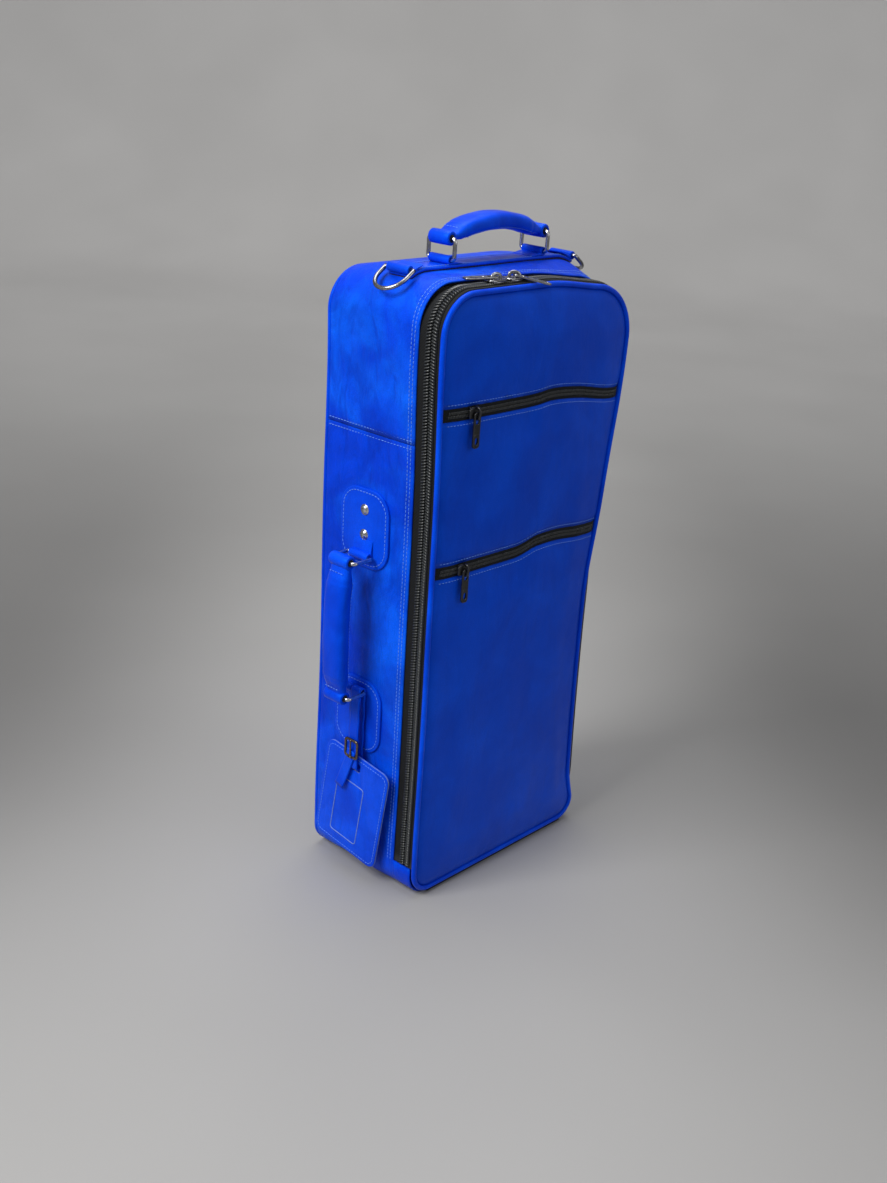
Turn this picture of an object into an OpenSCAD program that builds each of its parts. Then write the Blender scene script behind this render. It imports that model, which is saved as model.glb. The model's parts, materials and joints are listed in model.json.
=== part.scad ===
// Upright soft case for a brass instrument: a padded leather body with a front lid that
// unzips, two carrying handles on steel rings, shoulder-strap rings and a luggage tag.
// Origin: centre of the flat base. +X right, +Y towards the back, +Z up. Millimetres.

/* [Case] */
// Height of the body at its back edge
case_h = 566; // [500:1:640]
// Width across the top
top_w = 258; // [230:1:300]
// Width across the base
base_w = 244; // [220:1:290]
// Depth, front face to back face
case_d = 136; // [110:1:180]
// Radius of the top left corner
corner_left = 36; // [30:1:46]
// Radius of the top right corner
corner_right = 50; // [36:1:60]
// Radius of the two bottom corners
corner_base = 23; // [18:1:30]
// How far the right side pulls in at the waist
waist_right = 18; // [0:1:24]
// How far the left side pulls in at the waist
waist_left = 2; // [0:1:10]
// Height of the waist
waist_z = 245; // [200:1:300]

/* [Walls] */
// Leather thickness
leather_t = 2.2; // [1.6:0.1:3]
// Foam thickness in the walls
foam_t = 8; // [5:0.5:14]
// Foam thickness in the back
back_foam_t = 10; // [6:0.5:16]
// Lining thickness
lining_t = 1.5; // [1:0.1:3]
// Piping diameter
piping_d = 5; // [4:0.5:6]
// Base panel thickness
base_t = 2.5; // [2:0.1:4]
// Base stiffener board thickness
board_t = 3; // [2:0.5:5]

/* [Lid] */
// How much lower the lid's piping stands than the body's top
lid_drop = 6; // [4:0.5:8]
// Gap under the lid's piping
lid_lift = 3; // [2.8:0.1:4]
// How far the padded front stands out
pillow_h = 4; // [2:0.5:7]
// Depth of the lid, piping front to parting plane
lid_d = 13.5; // [12:0.5:18]

/* [Zips] */
// Width of one half of the main zip's chain
coil_w = 5.4; // [4:0.2:7]
// Gap between the two halves, where the slider's post runs
coil_gap = 1.2; // [1:0.1:1.6]
// Height of the ends of the main zip
zip_end_z = 31; // [28:1:40]
// Height of the upper pocket zip
pocket_upper_z = 460; // [420:1:480]
// Height of the lower pocket zip
pocket_lower_z = 322; // [280:1:360]
// Height of a pocket zip's opening
pocket_zip_h = 11; // [9:0.5:14]
// Main slider length
slider_l = 22; // [18:1:26]
// Main slider width
slider_w = 12.6; // [11:0.2:15]
// Main pull length
pull_l = 33; // [26:1:40]
// Place of the left main slider
slider_left_x = -54; // [-60:1:-50]
// Place of the right main slider
slider_right_x = -31; // [-32:1:-10]

/* [Handles] */
// Wire diameter of the rings
wire_d = 3.7; // [3:0.1:5]
// Clear width inside a handle ring
ring_inner_w = 26; // [22:1:34]
// Distance between the two bars of a top ring
top_ring_h = 17.5; // [15:0.5:24]
// Distance between the two bars of a side ring
side_ring_h = 21.5; // [18:0.5:28]
// Place of the top handle's left ring
top_ring_left_x = -63; // [-70:1:-55]
// Length of the top handle, ring to ring
top_handle_l = 122; // [110:1:136]
// Rise of the top grip above its rings
top_arch = 9.5; // [6:0.5:16]
// Height of the side handle's lower ring
side_low_z = 191; // [170:1:200]
// Length of the side handle, ring to ring
side_handle_l = 129; // [110:1:140]
// How far the side grip bows out
side_arch = 3.5; // [2:0.5:8]
// Width of a grip
grip_w = 24; // [20:0.5:30]
// Thickness of a grip
grip_t = 14; // [11:0.5:18]
// Distance of the side handle from mid-depth
side_handle_y = 12; // [6:1:18]
// Width of the strap over the top
strap_w = 26; // [20:1:32]
// Clear width inside a shoulder-strap ring
dring_inner_w = 28; // [24:1:34]
// Reach of a shoulder-strap ring
dring_reach = 25; // [20:1:32]

/* [Tag] */
// Width of the luggage tag
tag_w = 81; // [60:1:90]
// Length of the luggage tag
tag_h = 104; // [80:1:110]
// Thickness of the luggage tag
tag_t = 2.6; // [2:0.1:3.4]
// Tilt of the hanging tag
tag_tilt = 8; // [0:1:12]
// Width of the tag's strap
tag_strap_w = 12; // [10:0.5:13]
// Length of the tag's strap, ring to tag slot
tag_strap_l = 76; // [66:1:84]

/* [Hidden] */
$fn = 48;

// Colours
blue = "#1a4fd6";
front_blue = "#1743c4";
black = "#17181a";
soft_black = "#232426";
gunmetal = "#55585e";
nickel = "#c3c6ca";
foam_grey = "#8d9096";
lining_grey = "#3a3d44";

// Depth layout, front to back
front_y = -case_d / 2;
back_y = case_d / 2;
part_y = front_y + lid_d;
chain_gap = coil_gap / 2;
gusset_y = part_y + 13;
piping_back_y = front_y + piping_d - 0.5;
back_seam_y = back_y - 4.5;
hem_w = 3;
wall_t = leather_t + foam_t;
interior_inset = wall_t + lining_t;
tape_in = leather_t;
tape_out = tape_in + 1;
coil_out = 0.2;
lip_y = part_y + 5;

// Heights
chain_top = case_h - lid_drop + 2;
lid_top = case_h - lid_drop;
seam_z = case_h - 136;
base_half = base_w / 2 - corner_base;
far = 400;

// Rings and loops
bar_r = wire_d / 2;
bore_r = bar_r + 0.05;
loop_wall = 1.9;
loop_r = bore_r + loop_wall;
grip_loop_r = bore_r + 4;
strap_lift = 1.5;
strap_t = 2;
strap_top = case_h + strap_lift + strap_t;
top_bar_z = strap_top + loop_r;
grip_bar_z = top_bar_z + top_ring_h;
top_mid_x = top_ring_left_x + top_handle_l / 2;
patch_t = 2;
side_high_z = side_low_z + side_handle_l;
dring_angle = 27;
dring_droop = 35;

// Half width of the body at a height, left (side = -1) or right (side = 1)
function waist(side) = side < 0 ? waist_left : waist_right;
function half_w(z, side) =
  base_w / 2 + (top_w - base_w) / 2 * z / case_h
  - waist(side) * exp(-pow((z - waist_z) / (0.27 * case_h), 2) / 2);

// Points along a corner's arc
arc_steps = 8;
function arc(cx, cz, r, a0, a1) =
  [for (i = [0:arc_steps]) let (a = a0 + (a1 - a0) * i / arc_steps) [cx + r * cos(a), cz + r * sin(a)]];

// Points up one side, at the same heights for every outline
side_steps = 12;
side_low = corner_base + 20;
side_top = case_h - corner_right - lid_drop - 8;
function side_line(side, inset) =
  [for (i = [0:side_steps]) let (z = side_low + (side_top - side_low) * i / side_steps) [side * (half_w(z, side) - inset), z]];

// The quarter circle of one corner: side is -1 or 1, up is 1 at the top and -1 at the base
corner_min_r = 2;
function corner(side, up, r, inset, edge_z, a0) =
  let (
    z = edge_z - up * r,
    small = max(r - inset, corner_min_r),
    x = half_w(z, side) - inset - small
  )
  arc(side * x, edge_z - up * (inset + small), small, a0, a0 + 90);

// The front outline of the case, brought in by inset
function outline(inset, top, bottom) = concat(
  corner(1, -1, corner_base, inset, bottom, -90),
  side_line(1, inset),
  corner(1, 1, corner_right, inset, top, 0),
  corner(-1, 1, corner_left, inset, top, 90),
  [for (i = [side_steps:-1:0]) side_line(-1, inset)[i]],
  corner(-1, -1, corner_base, inset, bottom, 180)
);

// A slab of the outline from y0 to y1
module slab(inset, y0, y1, top = case_h, bottom = 0) {
  translate([0, y1, 0])
    rotate([90, 0, 0])
      linear_extrude(y1 - y0)
        polygon(outline(inset, top, bottom));
}

// A wall that follows the outline, between two insets
module band(outer, inner, y0, y1, top = case_h, bottom = 0) {
  difference() {
    slab(outer, y0, y1, top, bottom);
    slab(inner, y0 - 1, y1 + 1, top, bottom);
  }
}

// A block used to keep one stretch of a wall
module zone(x0, x1, z0, z1, y0 = -far, y1 = far) {
  translate([x0, y0, z0])
    cube([x1 - x0, y1 - y0, z1 - z0]);
}

// Bar along Y, centred
module bar_y(r, length) {
  rotate([90, 0, 0])
    cylinder(r = r, h = length, center = true);
}

// Rounded rectangle, as points
function rounded(w, h, r) = concat(
  arc(w / 2 - r, h / 2 - r, r, 0, 90),
  arc(-w / 2 + r, h / 2 - r, r, 90, 180),
  arc(-w / 2 + r, -h / 2 + r, r, 180, 270),
  arc(w / 2 - r, -h / 2 + r, r, 270, 360)
);

// ---------------------------------------------------------------- body shell

module gusset_wall() {
  band(0, leather_t, gusset_y, back_seam_y);
}

module gusset_top() {
  color(blue)
    intersection() {
      union() {
        gusset_wall();
        difference() {
          slab(0, gusset_y, gusset_y + hem_w);
          slab(tape_in, gusset_y - 1, gusset_y + hem_w + 1, chain_top);
        }
      }
      zone(-far, far, seam_z, far * 2);
    }
}

module gusset_left() {
  color(blue)
    difference() {
      intersection() {
        gusset_wall();
        zone(-far, -base_half, -1, seam_z);
      }
      rivet_shanks();
    }
}

module gusset_right() {
  color(blue)
    intersection() {
      gusset_wall();
      zone(base_half, far, -1, seam_z);
    }
}

module zip_end_corners() {
  color(blue)
    intersection() {
      band(0, leather_t, piping_back_y + 1, gusset_y);
      union() {
        zone(-far, -base_half, -1, zip_end_z);
        zone(base_half, far, -1, zip_end_z);
      }
    }
}

module back_panel() {
  color(blue)
    slab(piping_d, back_y - leather_t, back_y);
}

module back_piping() {
  color(blue) {
    band(0, piping_d, back_seam_y + 1, back_y - 1);
    band(1, piping_d - 1, back_seam_y, back_seam_y + 1);
    band(1, piping_d, back_y - 1, back_y);
  }
}

module base_panel() {
  color(black)
    zone(-base_half, base_half, 0, base_t, front_y + 2, back_seam_y);
}

module base_board() {
  color(soft_black)
    zone(-base_half + 1, base_half - 1, base_t, base_t + board_t, part_y + 1.5, back_seam_y - back_foam_t);
}

// ---------------------------------------------------------------- padding

foam_front_y = lip_y + 1.5;
foam_back_y = back_y - leather_t - back_foam_t;
foam_base_z = 40;

module foam_wall() {
  band(leather_t, wall_t, gusset_y + hem_w, foam_back_y);
  difference() {
    slab(tape_out, foam_front_y, gusset_y + hem_w, chain_top);
    slab(wall_t, foam_front_y - 1, gusset_y + hem_w + 1);
  }
}

module foam_back() {
  color(foam_grey) {
    slab(leather_t, foam_back_y, back_seam_y, bottom = base_t - leather_t);
    slab(piping_d, back_seam_y, back_y - leather_t);
  }
}

module foam_left() {
  color(foam_grey)
    intersection() {
      foam_wall();
      zone(-far, 0, foam_base_z, seam_z);
    }
}

module foam_right() {
  color(foam_grey)
    intersection() {
      foam_wall();
      zone(0, far, foam_base_z, seam_z);
    }
}

module foam_top() {
  color(foam_grey)
    intersection() {
      foam_wall();
      zone(-far, far, seam_z, far * 2);
    }
}

module foam_base() {
  color(foam_grey)
    difference() {
      intersection() {
        foam_wall();
        zone(-far, far, -1, foam_base_z);
      }
      zone(-base_half, base_half, -1, base_t + board_t);
    }
}

module lining() {
  color(lining_grey) {
    difference() {
      slab(wall_t, lip_y, foam_back_y);
      slab(interior_inset, lip_y - 1, foam_back_y - lining_t);
    }
    difference() {
      band(tape_out, wall_t, lip_y, foam_front_y, chain_top);
      zone(-base_half, base_half, -1, base_t + board_t);
    }
  }
}

// ---------------------------------------------------------------- main zip

module above_zip_end() {
  zone(-far, far, zip_end_z + 0.5, far * 2);
}

module body_zip_tape() {
  color(soft_black)
    intersection() {
      band(tape_in, tape_out, part_y + chain_gap, gusset_y + hem_w, chain_top);
      above_zip_end();
    }
}

module body_zip_coil() {
  color(black)
    intersection() {
      band(coil_out, tape_in, part_y + chain_gap, part_y + chain_gap + coil_w, chain_top);
      above_zip_end();
    }
}

module lid_zip_tape() {
  color(soft_black)
    intersection() {
      band(tape_in, tape_out, piping_back_y, part_y - chain_gap, chain_top);
      above_zip_end();
    }
}

module lid_zip_coil() {
  color(black)
    intersection() {
      band(coil_out, tape_in, part_y - chain_gap - coil_w, part_y - chain_gap, chain_top);
      above_zip_end();
    }
}

// ---------------------------------------------------------------- lid

crown_half = top_w / 2 - piping_d;
crown_r = (pow(crown_half, 2) + pow(pillow_h, 2)) / (2 * pillow_h);
crown_y = front_y - pillow_h + crown_r;

// Where the crowned front stands at x
function front_at(x) = crown_y - sqrt(pow(crown_r, 2) - pow(x, 2));

// The space behind the crowned front, brought in by t
module crown(t) {
  translate([0, crown_y, -lid_drop])
    cylinder(r = crown_r - t, h = case_h + lid_drop * 2, $fn = 1440);
}

// A sheet that follows the crowned front, inside the outline
module front_sheet(inset, t0, t1) {
  difference() {
    intersection() {
      slab(inset, front_y - pillow_h - 1, front_y + leather_t * 2, lid_top, lid_lift);
      crown(t0);
    }
    crown(t1);
  }
}

module lid_leather() {
  front_sheet(piping_d, 0, leather_t);
}

module lid_panel_top() {
  color(front_blue)
    intersection() {
      lid_leather();
      zone(-far, far, pocket_upper_z + pocket_zip_h / 2, far * 2);
    }
}

module lid_panel_middle() {
  color(front_blue)
    intersection() {
      lid_leather();
      zone(-far, far, pocket_lower_z + pocket_zip_h / 2, pocket_upper_z - pocket_zip_h / 2);
    }
}

module lid_panel_bottom() {
  color(front_blue)
    intersection() {
      lid_leather();
      zone(-far, far, -1, pocket_lower_z - pocket_zip_h / 2);
    }
}

module lid_piping() {
  color(blue) {
    band(0, piping_d, front_y + 0.6, piping_back_y - 1, lid_top, lid_lift);
    band(1, piping_d - 1, piping_back_y - 1, piping_back_y, lid_top, lid_lift);
    band(1, piping_d - 1, front_y - 0.5, front_y + 0.6, lid_top, lid_lift);
  }
}

lid_groove_inset = piping_d + 1.2;
bag_t = 1.8;
bag_half = top_w / 2 - 44;

upper_bag_z = [pocket_lower_z + 14, pocket_upper_z - pocket_zip_h / 2];
lower_bag_z = [60, pocket_lower_z - pocket_zip_h / 2];

// The space of one flat pocket bag in the foam, hanging below its zip
module bag_space(z) {
  y1 = piping_back_y - 1.5;
  zone(-bag_half, bag_half, z[0], z[1], y1 - bag_t, y1);
}

// The way from a pocket zip into its bag
module pocket_mouth(z) {
  zone(-bag_half, bag_half, z - pocket_zip_h / 2 - 1, z + 2, front_y - pillow_h - 2, piping_back_y - 1.5);
}

module lid_foam() {
  groove_y = part_y - 6.5;
  color(foam_grey)
    difference() {
      union() {
        intersection() {
          slab(piping_d, front_y - pillow_h - 1, piping_back_y + 0.1, lid_top, lid_lift);
          crown(leather_t);
        }
        slab(3.5, piping_back_y + 0.1, groove_y, lid_top, lid_lift);
        slab(lid_groove_inset, groove_y, part_y - lining_t - 0.2, lid_top, lid_lift);
      }
      bag_space(upper_bag_z);
      bag_space(lower_bag_z);
      pocket_mouth(pocket_upper_z);
      pocket_mouth(pocket_lower_z);
    }
}

module lid_lining() {
  color(lining_grey)
    slab(lid_groove_inset, part_y - lining_t - 0.2, part_y - 0.2, lid_top, lid_lift);
}

// The tape fills the slot between two panels, and the chain stands on it
module pocket_zip(z) {
  tape_in_y = 0.8;
  chain_h = 5.6;
  chain_inset = 20;
  intersection() {
    front_sheet(piping_d, tape_in_y, leather_t);
    zone(-far, far, z - pocket_zip_h / 2, z + pocket_zip_h / 2);
  }
  intersection() {
    front_sheet(chain_inset, -0.4, tape_in_y);
    zone(-far, far, z - chain_h / 2, z + chain_h / 2);
  }
}

module pocket_zip_upper() {
  color(black)
    pocket_zip(pocket_upper_z);
}

module pocket_zip_lower() {
  color(black)
    pocket_zip(pocket_lower_z);
}

module pocket_bag_upper() {
  color(lining_grey)
    bag_space(upper_bag_z);
}

module pocket_bag_lower() {
  color(lining_grey)
    bag_space(lower_bag_z);
}

// ---------------------------------------------------------------- sliders and pulls

plate_t = 2;
bridge_h = 5;
bridge_w = 2.6;
bridge_l = 11;
window_l = 7.2;
window_h = 3.2;
cross_r = 1.1;
cross_z = plate_t + window_h / 2;

// A slider's cover plate and bridge. Travel is along X and the plate's underside is at z = 0.
module slider_shell(length, width, bridge_turn) {
  linear_extrude(plate_t)
    polygon([
      [-length / 2, -width * 0.32], [-length * 0.3, -width / 2], [length * 0.2, -width / 2],
      [length / 2, -width * 0.4], [length / 2, width * 0.4], [length * 0.2, width / 2],
      [-length * 0.3, width / 2], [-length / 2, width * 0.32]
    ]);
  rotate([0, 0, bridge_turn])
    difference() {
      translate([-bridge_l / 2, -bridge_w / 2, plate_t / 2])
        cube([bridge_l, bridge_w, bridge_h + plate_t / 2]);
      translate([-window_l / 2, -bridge_w, plate_t])
        cube([window_l, bridge_w * 2, window_h]);
    }
}

// A pull that points along -X from its cross bar at the origin
module pull_tab(length, width, slot_start, slot_l) {
  t = 1.8;
  eye_l = 8;
  eye_w = bridge_w + 1.6;
  bar_y(cross_r, width - 1);
  difference() {
    translate([-length / 2, 0, -t / 2])
      linear_extrude(t)
        polygon(rounded(length, width, width * 0.35));
    translate([-eye_l, -eye_w / 2, -t])
      cube([eye_l - cross_r * 0.6, eye_w, t * 2]);
    translate([-cross_r * 0.7, -width, -t])
      cube([width, width * 2, t * 2]);
    for (x = [slot_start, slot_start + slot_l])
      translate([-x, 0, -t])
        cylinder(d = width * 0.45, h = t * 2);
    translate([-slot_start - slot_l, -width * 0.225, -t])
      cube([slot_l, width * 0.45, t * 2]);
  }
}

slider_seat_z = chain_top - coil_out + 0.5;
pull_w = 9;
left_yaw = -12;
right_yaw = 143;
right_pitch = -3;

// The post and inner wing that hold a main slider on its own half of the chain
module slider_inner(side) {
  wing_z = chain_top - tape_out - 0.3;
  wing_w = 4.2;
  translate([-slider_l * 0.35, -0.3, wing_z - slider_seat_z - 1.2])
    cube([5, 0.6, slider_seat_z - wing_z + 1.2 + plate_t / 2]);
  translate([-slider_l / 2, side > 0 ? -0.3 : 0.3 - wing_w, wing_z - slider_seat_z - 1.2])
    cube([slider_l, wing_w, 1.2]);
}

module slider_left() {
  color(gunmetal)
    translate([slider_left_x, part_y, slider_seat_z]) {
      slider_shell(slider_l, slider_w, left_yaw);
      slider_inner(1);
    }
}

module slider_right() {
  color(gunmetal)
    translate([slider_right_x, part_y, slider_seat_z]) {
      slider_shell(slider_l, slider_w, right_yaw);
      slider_inner(-1);
    }
}

module pull_left() {
  color(gunmetal)
    translate([slider_left_x, part_y, slider_seat_z + cross_z])
      rotate([0, 0, left_yaw])
        pull_tab(pull_l, pull_w, 13, pull_l - 19);
}

module pull_right() {
  color(gunmetal)
    translate([slider_right_x, part_y, slider_seat_z + cross_z])
      rotate([0, 0, right_yaw])
        rotate([0, right_pitch, 0])
          pull_tab(pull_l, pull_w, 13, pull_l - 19);
}

pocket_slider_l = 15;
pocket_slider_w = 9.5;
pocket_pull_l = 31;
pocket_pull_w = 8;
pocket_slider_x = -88;
pocket_seat_y = front_at(pocket_slider_x) - 1.15;

// Turns a part made flat on XY to lie on the front, with its outside forward
module on_front(z) {
  translate([pocket_slider_x, pocket_seat_y, z])
    rotate([90, 0, 0])
      children();
}

module pocket_slider(z) {
  color(black)
    on_front(z)
      slider_shell(pocket_slider_l, pocket_slider_w, 90);
}

module pocket_pull(z) {
  color(black)
    on_front(z)
      translate([0, 0, cross_z])
        rotate([0, 0, 90])
          pull_tab(pocket_pull_l, pocket_pull_w, pocket_pull_l - 9, 4);
}

module pocket_slider_upper() {
  pocket_slider(pocket_upper_z);
}

module pocket_slider_lower() {
  pocket_slider(pocket_lower_z);
}

module pocket_pull_upper() {
  pocket_pull(pocket_upper_z);
}

module pocket_pull_lower() {
  pocket_pull(pocket_lower_z);
}

// ---------------------------------------------------------------- wire rings

// Rectangular wire ring in XY: one bar along Y at x = 0, the other at x = reach
module wire_ring(inner_w, reach) {
  r = 2.8;
  half = (inner_w + wire_d) / 2;
  for (x = [0, reach])
    translate([x, 0, 0])
      bar_y(bar_r, half * 2 - r * 2);
  for (side = [-1, 1])
    translate([reach / 2, side * half, 0])
      rotate([0, 90, 0])
        cylinder(r = bar_r, h = reach - r * 2, center = true);
  for (corner = [[reach - r, half - r, 0], [r, half - r, 90], [r, r - half, 180], [reach - r, r - half, 270]])
    translate([corner[0], corner[1], 0])
      rotate([0, 0, corner[2]])
        rotate_extrude(angle = 90)
          translate([r, 0])
            circle(r = bar_r);
}

// D-shaped wire ring in XY: straight bar along Y at x = 0, bow towards +X
module d_ring(inner_w, reach) {
  r = (inner_w + wire_d) / 2;
  bar_y(bar_r, r * 2);
  for (side = [-1, 1])
    translate([0, side * r, 0]) {
      sphere(r = bar_r);
      rotate([0, 90, 0])
        cylinder(r = bar_r, h = reach - r);
    }
  translate([reach - r, 0, 0])
    rotate([0, 0, -90])
      rotate_extrude(angle = 180)
        translate([r, 0])
          circle(r = bar_r);
}

// ---------------------------------------------------------------- top strap and handle

strap_left_x = -half_w(case_h - corner_left, -1) + corner_left * (1 - sin(dring_angle)) - 2;
strap_right_x = half_w(case_h - corner_right, 1) - corner_right * (1 - sin(dring_angle)) + 2;

module strap_zone(width) {
  zone(strap_left_x, strap_right_x, case_h - corner_right, far * 2, -width / 2, width / 2);
}

module top_webbing() {
  color(black)
    intersection() {
      band(-strap_lift, 0, -strap_w, strap_w);
      strap_zone(strap_w - 2);
    }
}

module top_strap() {
  color(blue)
    intersection() {
      band(-strap_lift - strap_t, -strap_lift, -strap_w, strap_w);
      strap_zone(strap_w);
    }
}

// A leather loop round a bar along Y at the origin, with a tab along +X, resting on z = -loop_r
module leather_loop(length, tab_l) {
  difference() {
    union() {
      bar_y(loop_r, length);
      translate([0, -length / 2, -loop_r])
        cube([tab_l, length, loop_wall]);
      translate([0, -length / 2, -loop_r])
        cube([loop_r, length, loop_r]);
    }
    bar_y(bore_r, length + 1);
  }
}

module top_chapes() {
  color(blue)
    for (end = [[top_ring_left_x, 0], [top_ring_left_x + top_handle_l, 180]])
      translate([end[0], 0, top_bar_z])
        rotate([0, 0, end[1]])
          leather_loop(ring_inner_w - 3, 16);
}

module top_ring(x) {
  color(nickel)
    translate([x, 0, top_bar_z])
      rotate([0, -90, 0])
        wire_ring(ring_inner_w, top_ring_h);
}

module top_ring_left() {
  top_ring(top_ring_left_x);
}

module top_ring_right() {
  top_ring(top_ring_left_x + top_handle_l);
}

// A grip between two bars a distance apart along X, arched towards +Z, with its width along Y.
// It stops short of each bar by cut.
module arched_bar(span, rise, width, thick, cut) {
  radius = (pow(span / 2, 2) + pow(rise, 2)) / (2 * rise);
  half_angle = asin((span / 2 - cut) / radius);
  translate([0, 0, rise - radius])
    rotate([90, 0, 0])
      rotate([0, 0, 90 - half_angle])
        rotate_extrude(angle = half_angle * 2, $fn = 96)
          translate([radius, 0])
            polygon(rounded(thick, width, thick * 0.42));
}

grip_wall = 2.4;
core_cut = 13;

module grip(span, rise) {
  difference() {
    union() {
      arched_bar(span, rise, grip_w, grip_t, 2);
      for (x = [-span / 2, span / 2])
        translate([x, 0, 0])
          bar_y(grip_loop_r, ring_inner_w - 3);
    }
    for (x = [-span / 2, span / 2])
      translate([x, 0, 0])
        bar_y(bore_r, ring_inner_w);
    grip_core(span, rise);
  }
}

module grip_core(span, rise) {
  arched_bar(span, rise, grip_w - grip_wall * 2, grip_t - grip_wall * 2, core_cut);
}

module place_top_grip() {
  translate([top_mid_x, 0, grip_bar_z])
    children();
}

module top_grip() {
  color(blue)
    place_top_grip()
      grip(top_handle_l, top_arch);
}

module top_grip_core() {
  color(foam_grey)
    place_top_grip()
      grip_core(top_handle_l, top_arch);
}

// ---------------------------------------------------------------- shoulder-strap rings

// Puts a part on a top corner at the shoulder ring's bar, with +X pointing outward and down
module at_shoulder(side) {
  r = side < 0 ? corner_left : corner_right;
  reach = r + strap_lift + strap_t + loop_r;
  cx = half_w(case_h - r, side) - r;
  x = side * (cx + reach * sin(dring_angle));
  z = case_h - r + reach * cos(dring_angle);
  translate([x, 0, z])
    rotate([0, 0, side < 0 ? 180 : 0])
      children();
}

module dring_chapes() {
  color(blue)
    for (side = [-1, 1])
      at_shoulder(side)
        rotate([0, dring_angle, 0])
          rotate([0, 0, 180])
            leather_loop(dring_inner_w - 3, 14);
}

module dring(side) {
  color(nickel)
    at_shoulder(side)
      rotate([0, dring_droop, 0])
        d_ring(dring_inner_w, dring_reach);
}

module dring_left() {
  dring(-1);
}

module dring_right() {
  dring(1);
}

// ---------------------------------------------------------------- side handle

patch_w = 58;
upper_patch_z = [side_high_z - 12, side_high_z + 60];
lower_patch_z = [side_low_z - 63, side_low_z + 9];

// A rounded leather patch on the left wall, between two heights
module wall_patch(z) {
  intersection() {
    band(-patch_t, 0, -case_d, case_d);
    translate([-far, side_handle_y, (z[0] + z[1]) / 2])
      rotate([90, 0, 90])
        linear_extrude(far)
          polygon(rounded(patch_w, z[1] - z[0], 20));
  }
}

rivet_z = [side_high_z + 18, side_high_z + 41];
rivet_r = 1.6;
rivet_head_r = 4;

module rivet_shanks() {
  for (z = rivet_z)
    translate([-half_w(z, -1) - patch_t - 1, side_handle_y, z])
      rotate([0, 90, 0])
        cylinder(r = rivet_r, h = patch_t + leather_t + 0.7);
}

module patch_rivets() {
  color(nickel) {
    rivet_shanks();
    for (z = rivet_z)
      translate([-half_w(z, -1) - patch_t - 1.3, side_handle_y, z])
        rotate([0, 90, 0])
          cylinder(r = rivet_head_r, h = 1.2);
  }
}

module handle_patch_upper() {
  color(blue)
    difference() {
      wall_patch(upper_patch_z);
      rivet_shanks();
    }
}

module handle_patch_lower() {
  color(blue)
    wall_patch(lower_patch_z);
}

// x of the inner bar of a side ring
function side_bar_x(z) = -half_w(z, -1) - patch_t - loop_r;
side_tab_l = 13;
side_tab_ends = [side_low_z - side_tab_l, side_low_z, side_high_z, side_high_z + side_tab_l];
side_x = min([for (z = side_tab_ends) side_bar_x(z)]) - 0.1;
strap_clear = 1;
ring_low_y = side_handle_y - ring_inner_w / 2;
lower_chape_w = ring_inner_w - tag_strap_w - strap_clear * 3;

module side_chape_upper() {
  color(blue)
    translate([side_x, side_handle_y, side_high_z])
      rotate([0, -90, 0])
        leather_loop(ring_inner_w - 3, side_tab_l);
}

module side_chape_lower() {
  color(blue)
    translate([side_x, side_handle_y + ring_inner_w / 2 - strap_clear - lower_chape_w / 2, side_low_z])
      rotate([0, 90, 0])
        mirror([0, 0, 1])
          leather_loop(lower_chape_w, side_tab_l);
}

module side_ring(z) {
  color(nickel)
    translate([side_x, side_handle_y, z])
      rotate([0, 0, 180])
        wire_ring(ring_inner_w, side_ring_h);
}

module side_ring_upper() {
  side_ring(side_high_z);
}

module side_ring_lower() {
  side_ring(side_low_z);
}

module place_side_grip() {
  translate([side_x - side_ring_h, side_handle_y, (side_low_z + side_high_z) / 2])
    rotate([0, -90, 0])
      children();
}

module side_grip() {
  color(blue)
    place_side_grip()
      grip(side_handle_l, side_arch);
}

module side_grip_core() {
  color(foam_grey)
    place_side_grip()
      grip_core(side_handle_l, side_arch);
}

// ---------------------------------------------------------------- luggage tag

strap_loop_in = bar_r + 0.55;
strap_leather_t = 1.6;
strap_loop_out = strap_loop_in + strap_leather_t;
tag_strap_y = ring_low_y + strap_clear + tag_strap_w / 2;
tag_slot_z = side_low_z - tag_strap_l;
buckle_z = tag_slot_z + 15;
buckle_w = tag_strap_w + 5;
buckle_h = 19;
buckle_t = 1.8;
outer_face_x = side_x - strap_loop_out;
tag_above_slot = 11;

// Stadium round the bar and the tag's slot, seen along Y
module stadium(r, length) {
  for (z = [0, -tag_strap_l])
    translate([0, 0, z])
      bar_y(r, length);
  translate([-r, -length / 2, -tag_strap_l])
    cube([r * 2, length, tag_strap_l]);
}

module tag_strap() {
  color(blue) {
    translate([side_x, tag_strap_y, side_low_z])
      difference() {
        stadium(strap_loop_out, tag_strap_w);
        stadium(strap_loop_in, tag_strap_w + 1);
      }
    translate([outer_face_x - 1.4, tag_strap_y, buckle_z + 2])
      rotate([24, 0, 0])
        translate([0, -tag_strap_w / 2 + 1, -42])
          cube([1.4, tag_strap_w - 2, 32]);
    translate([outer_face_x - 1.4, tag_strap_y - tag_strap_w / 2 + 1, buckle_z - 14])
      cube([1.4, tag_strap_w - 2, 8]);
  }
}

module tag_buckle() {
  color(gunmetal)
    translate([outer_face_x - buckle_t, tag_strap_y, buckle_z + 4])
      rotate([90, 0, 90])
        linear_extrude(buckle_t)
          difference() {
            polygon(rounded(buckle_w, buckle_h, 3));
            polygon(rounded(buckle_w - 4, buckle_h - 4, 1.6));
          }
}

prong_r = 0.9;

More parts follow.
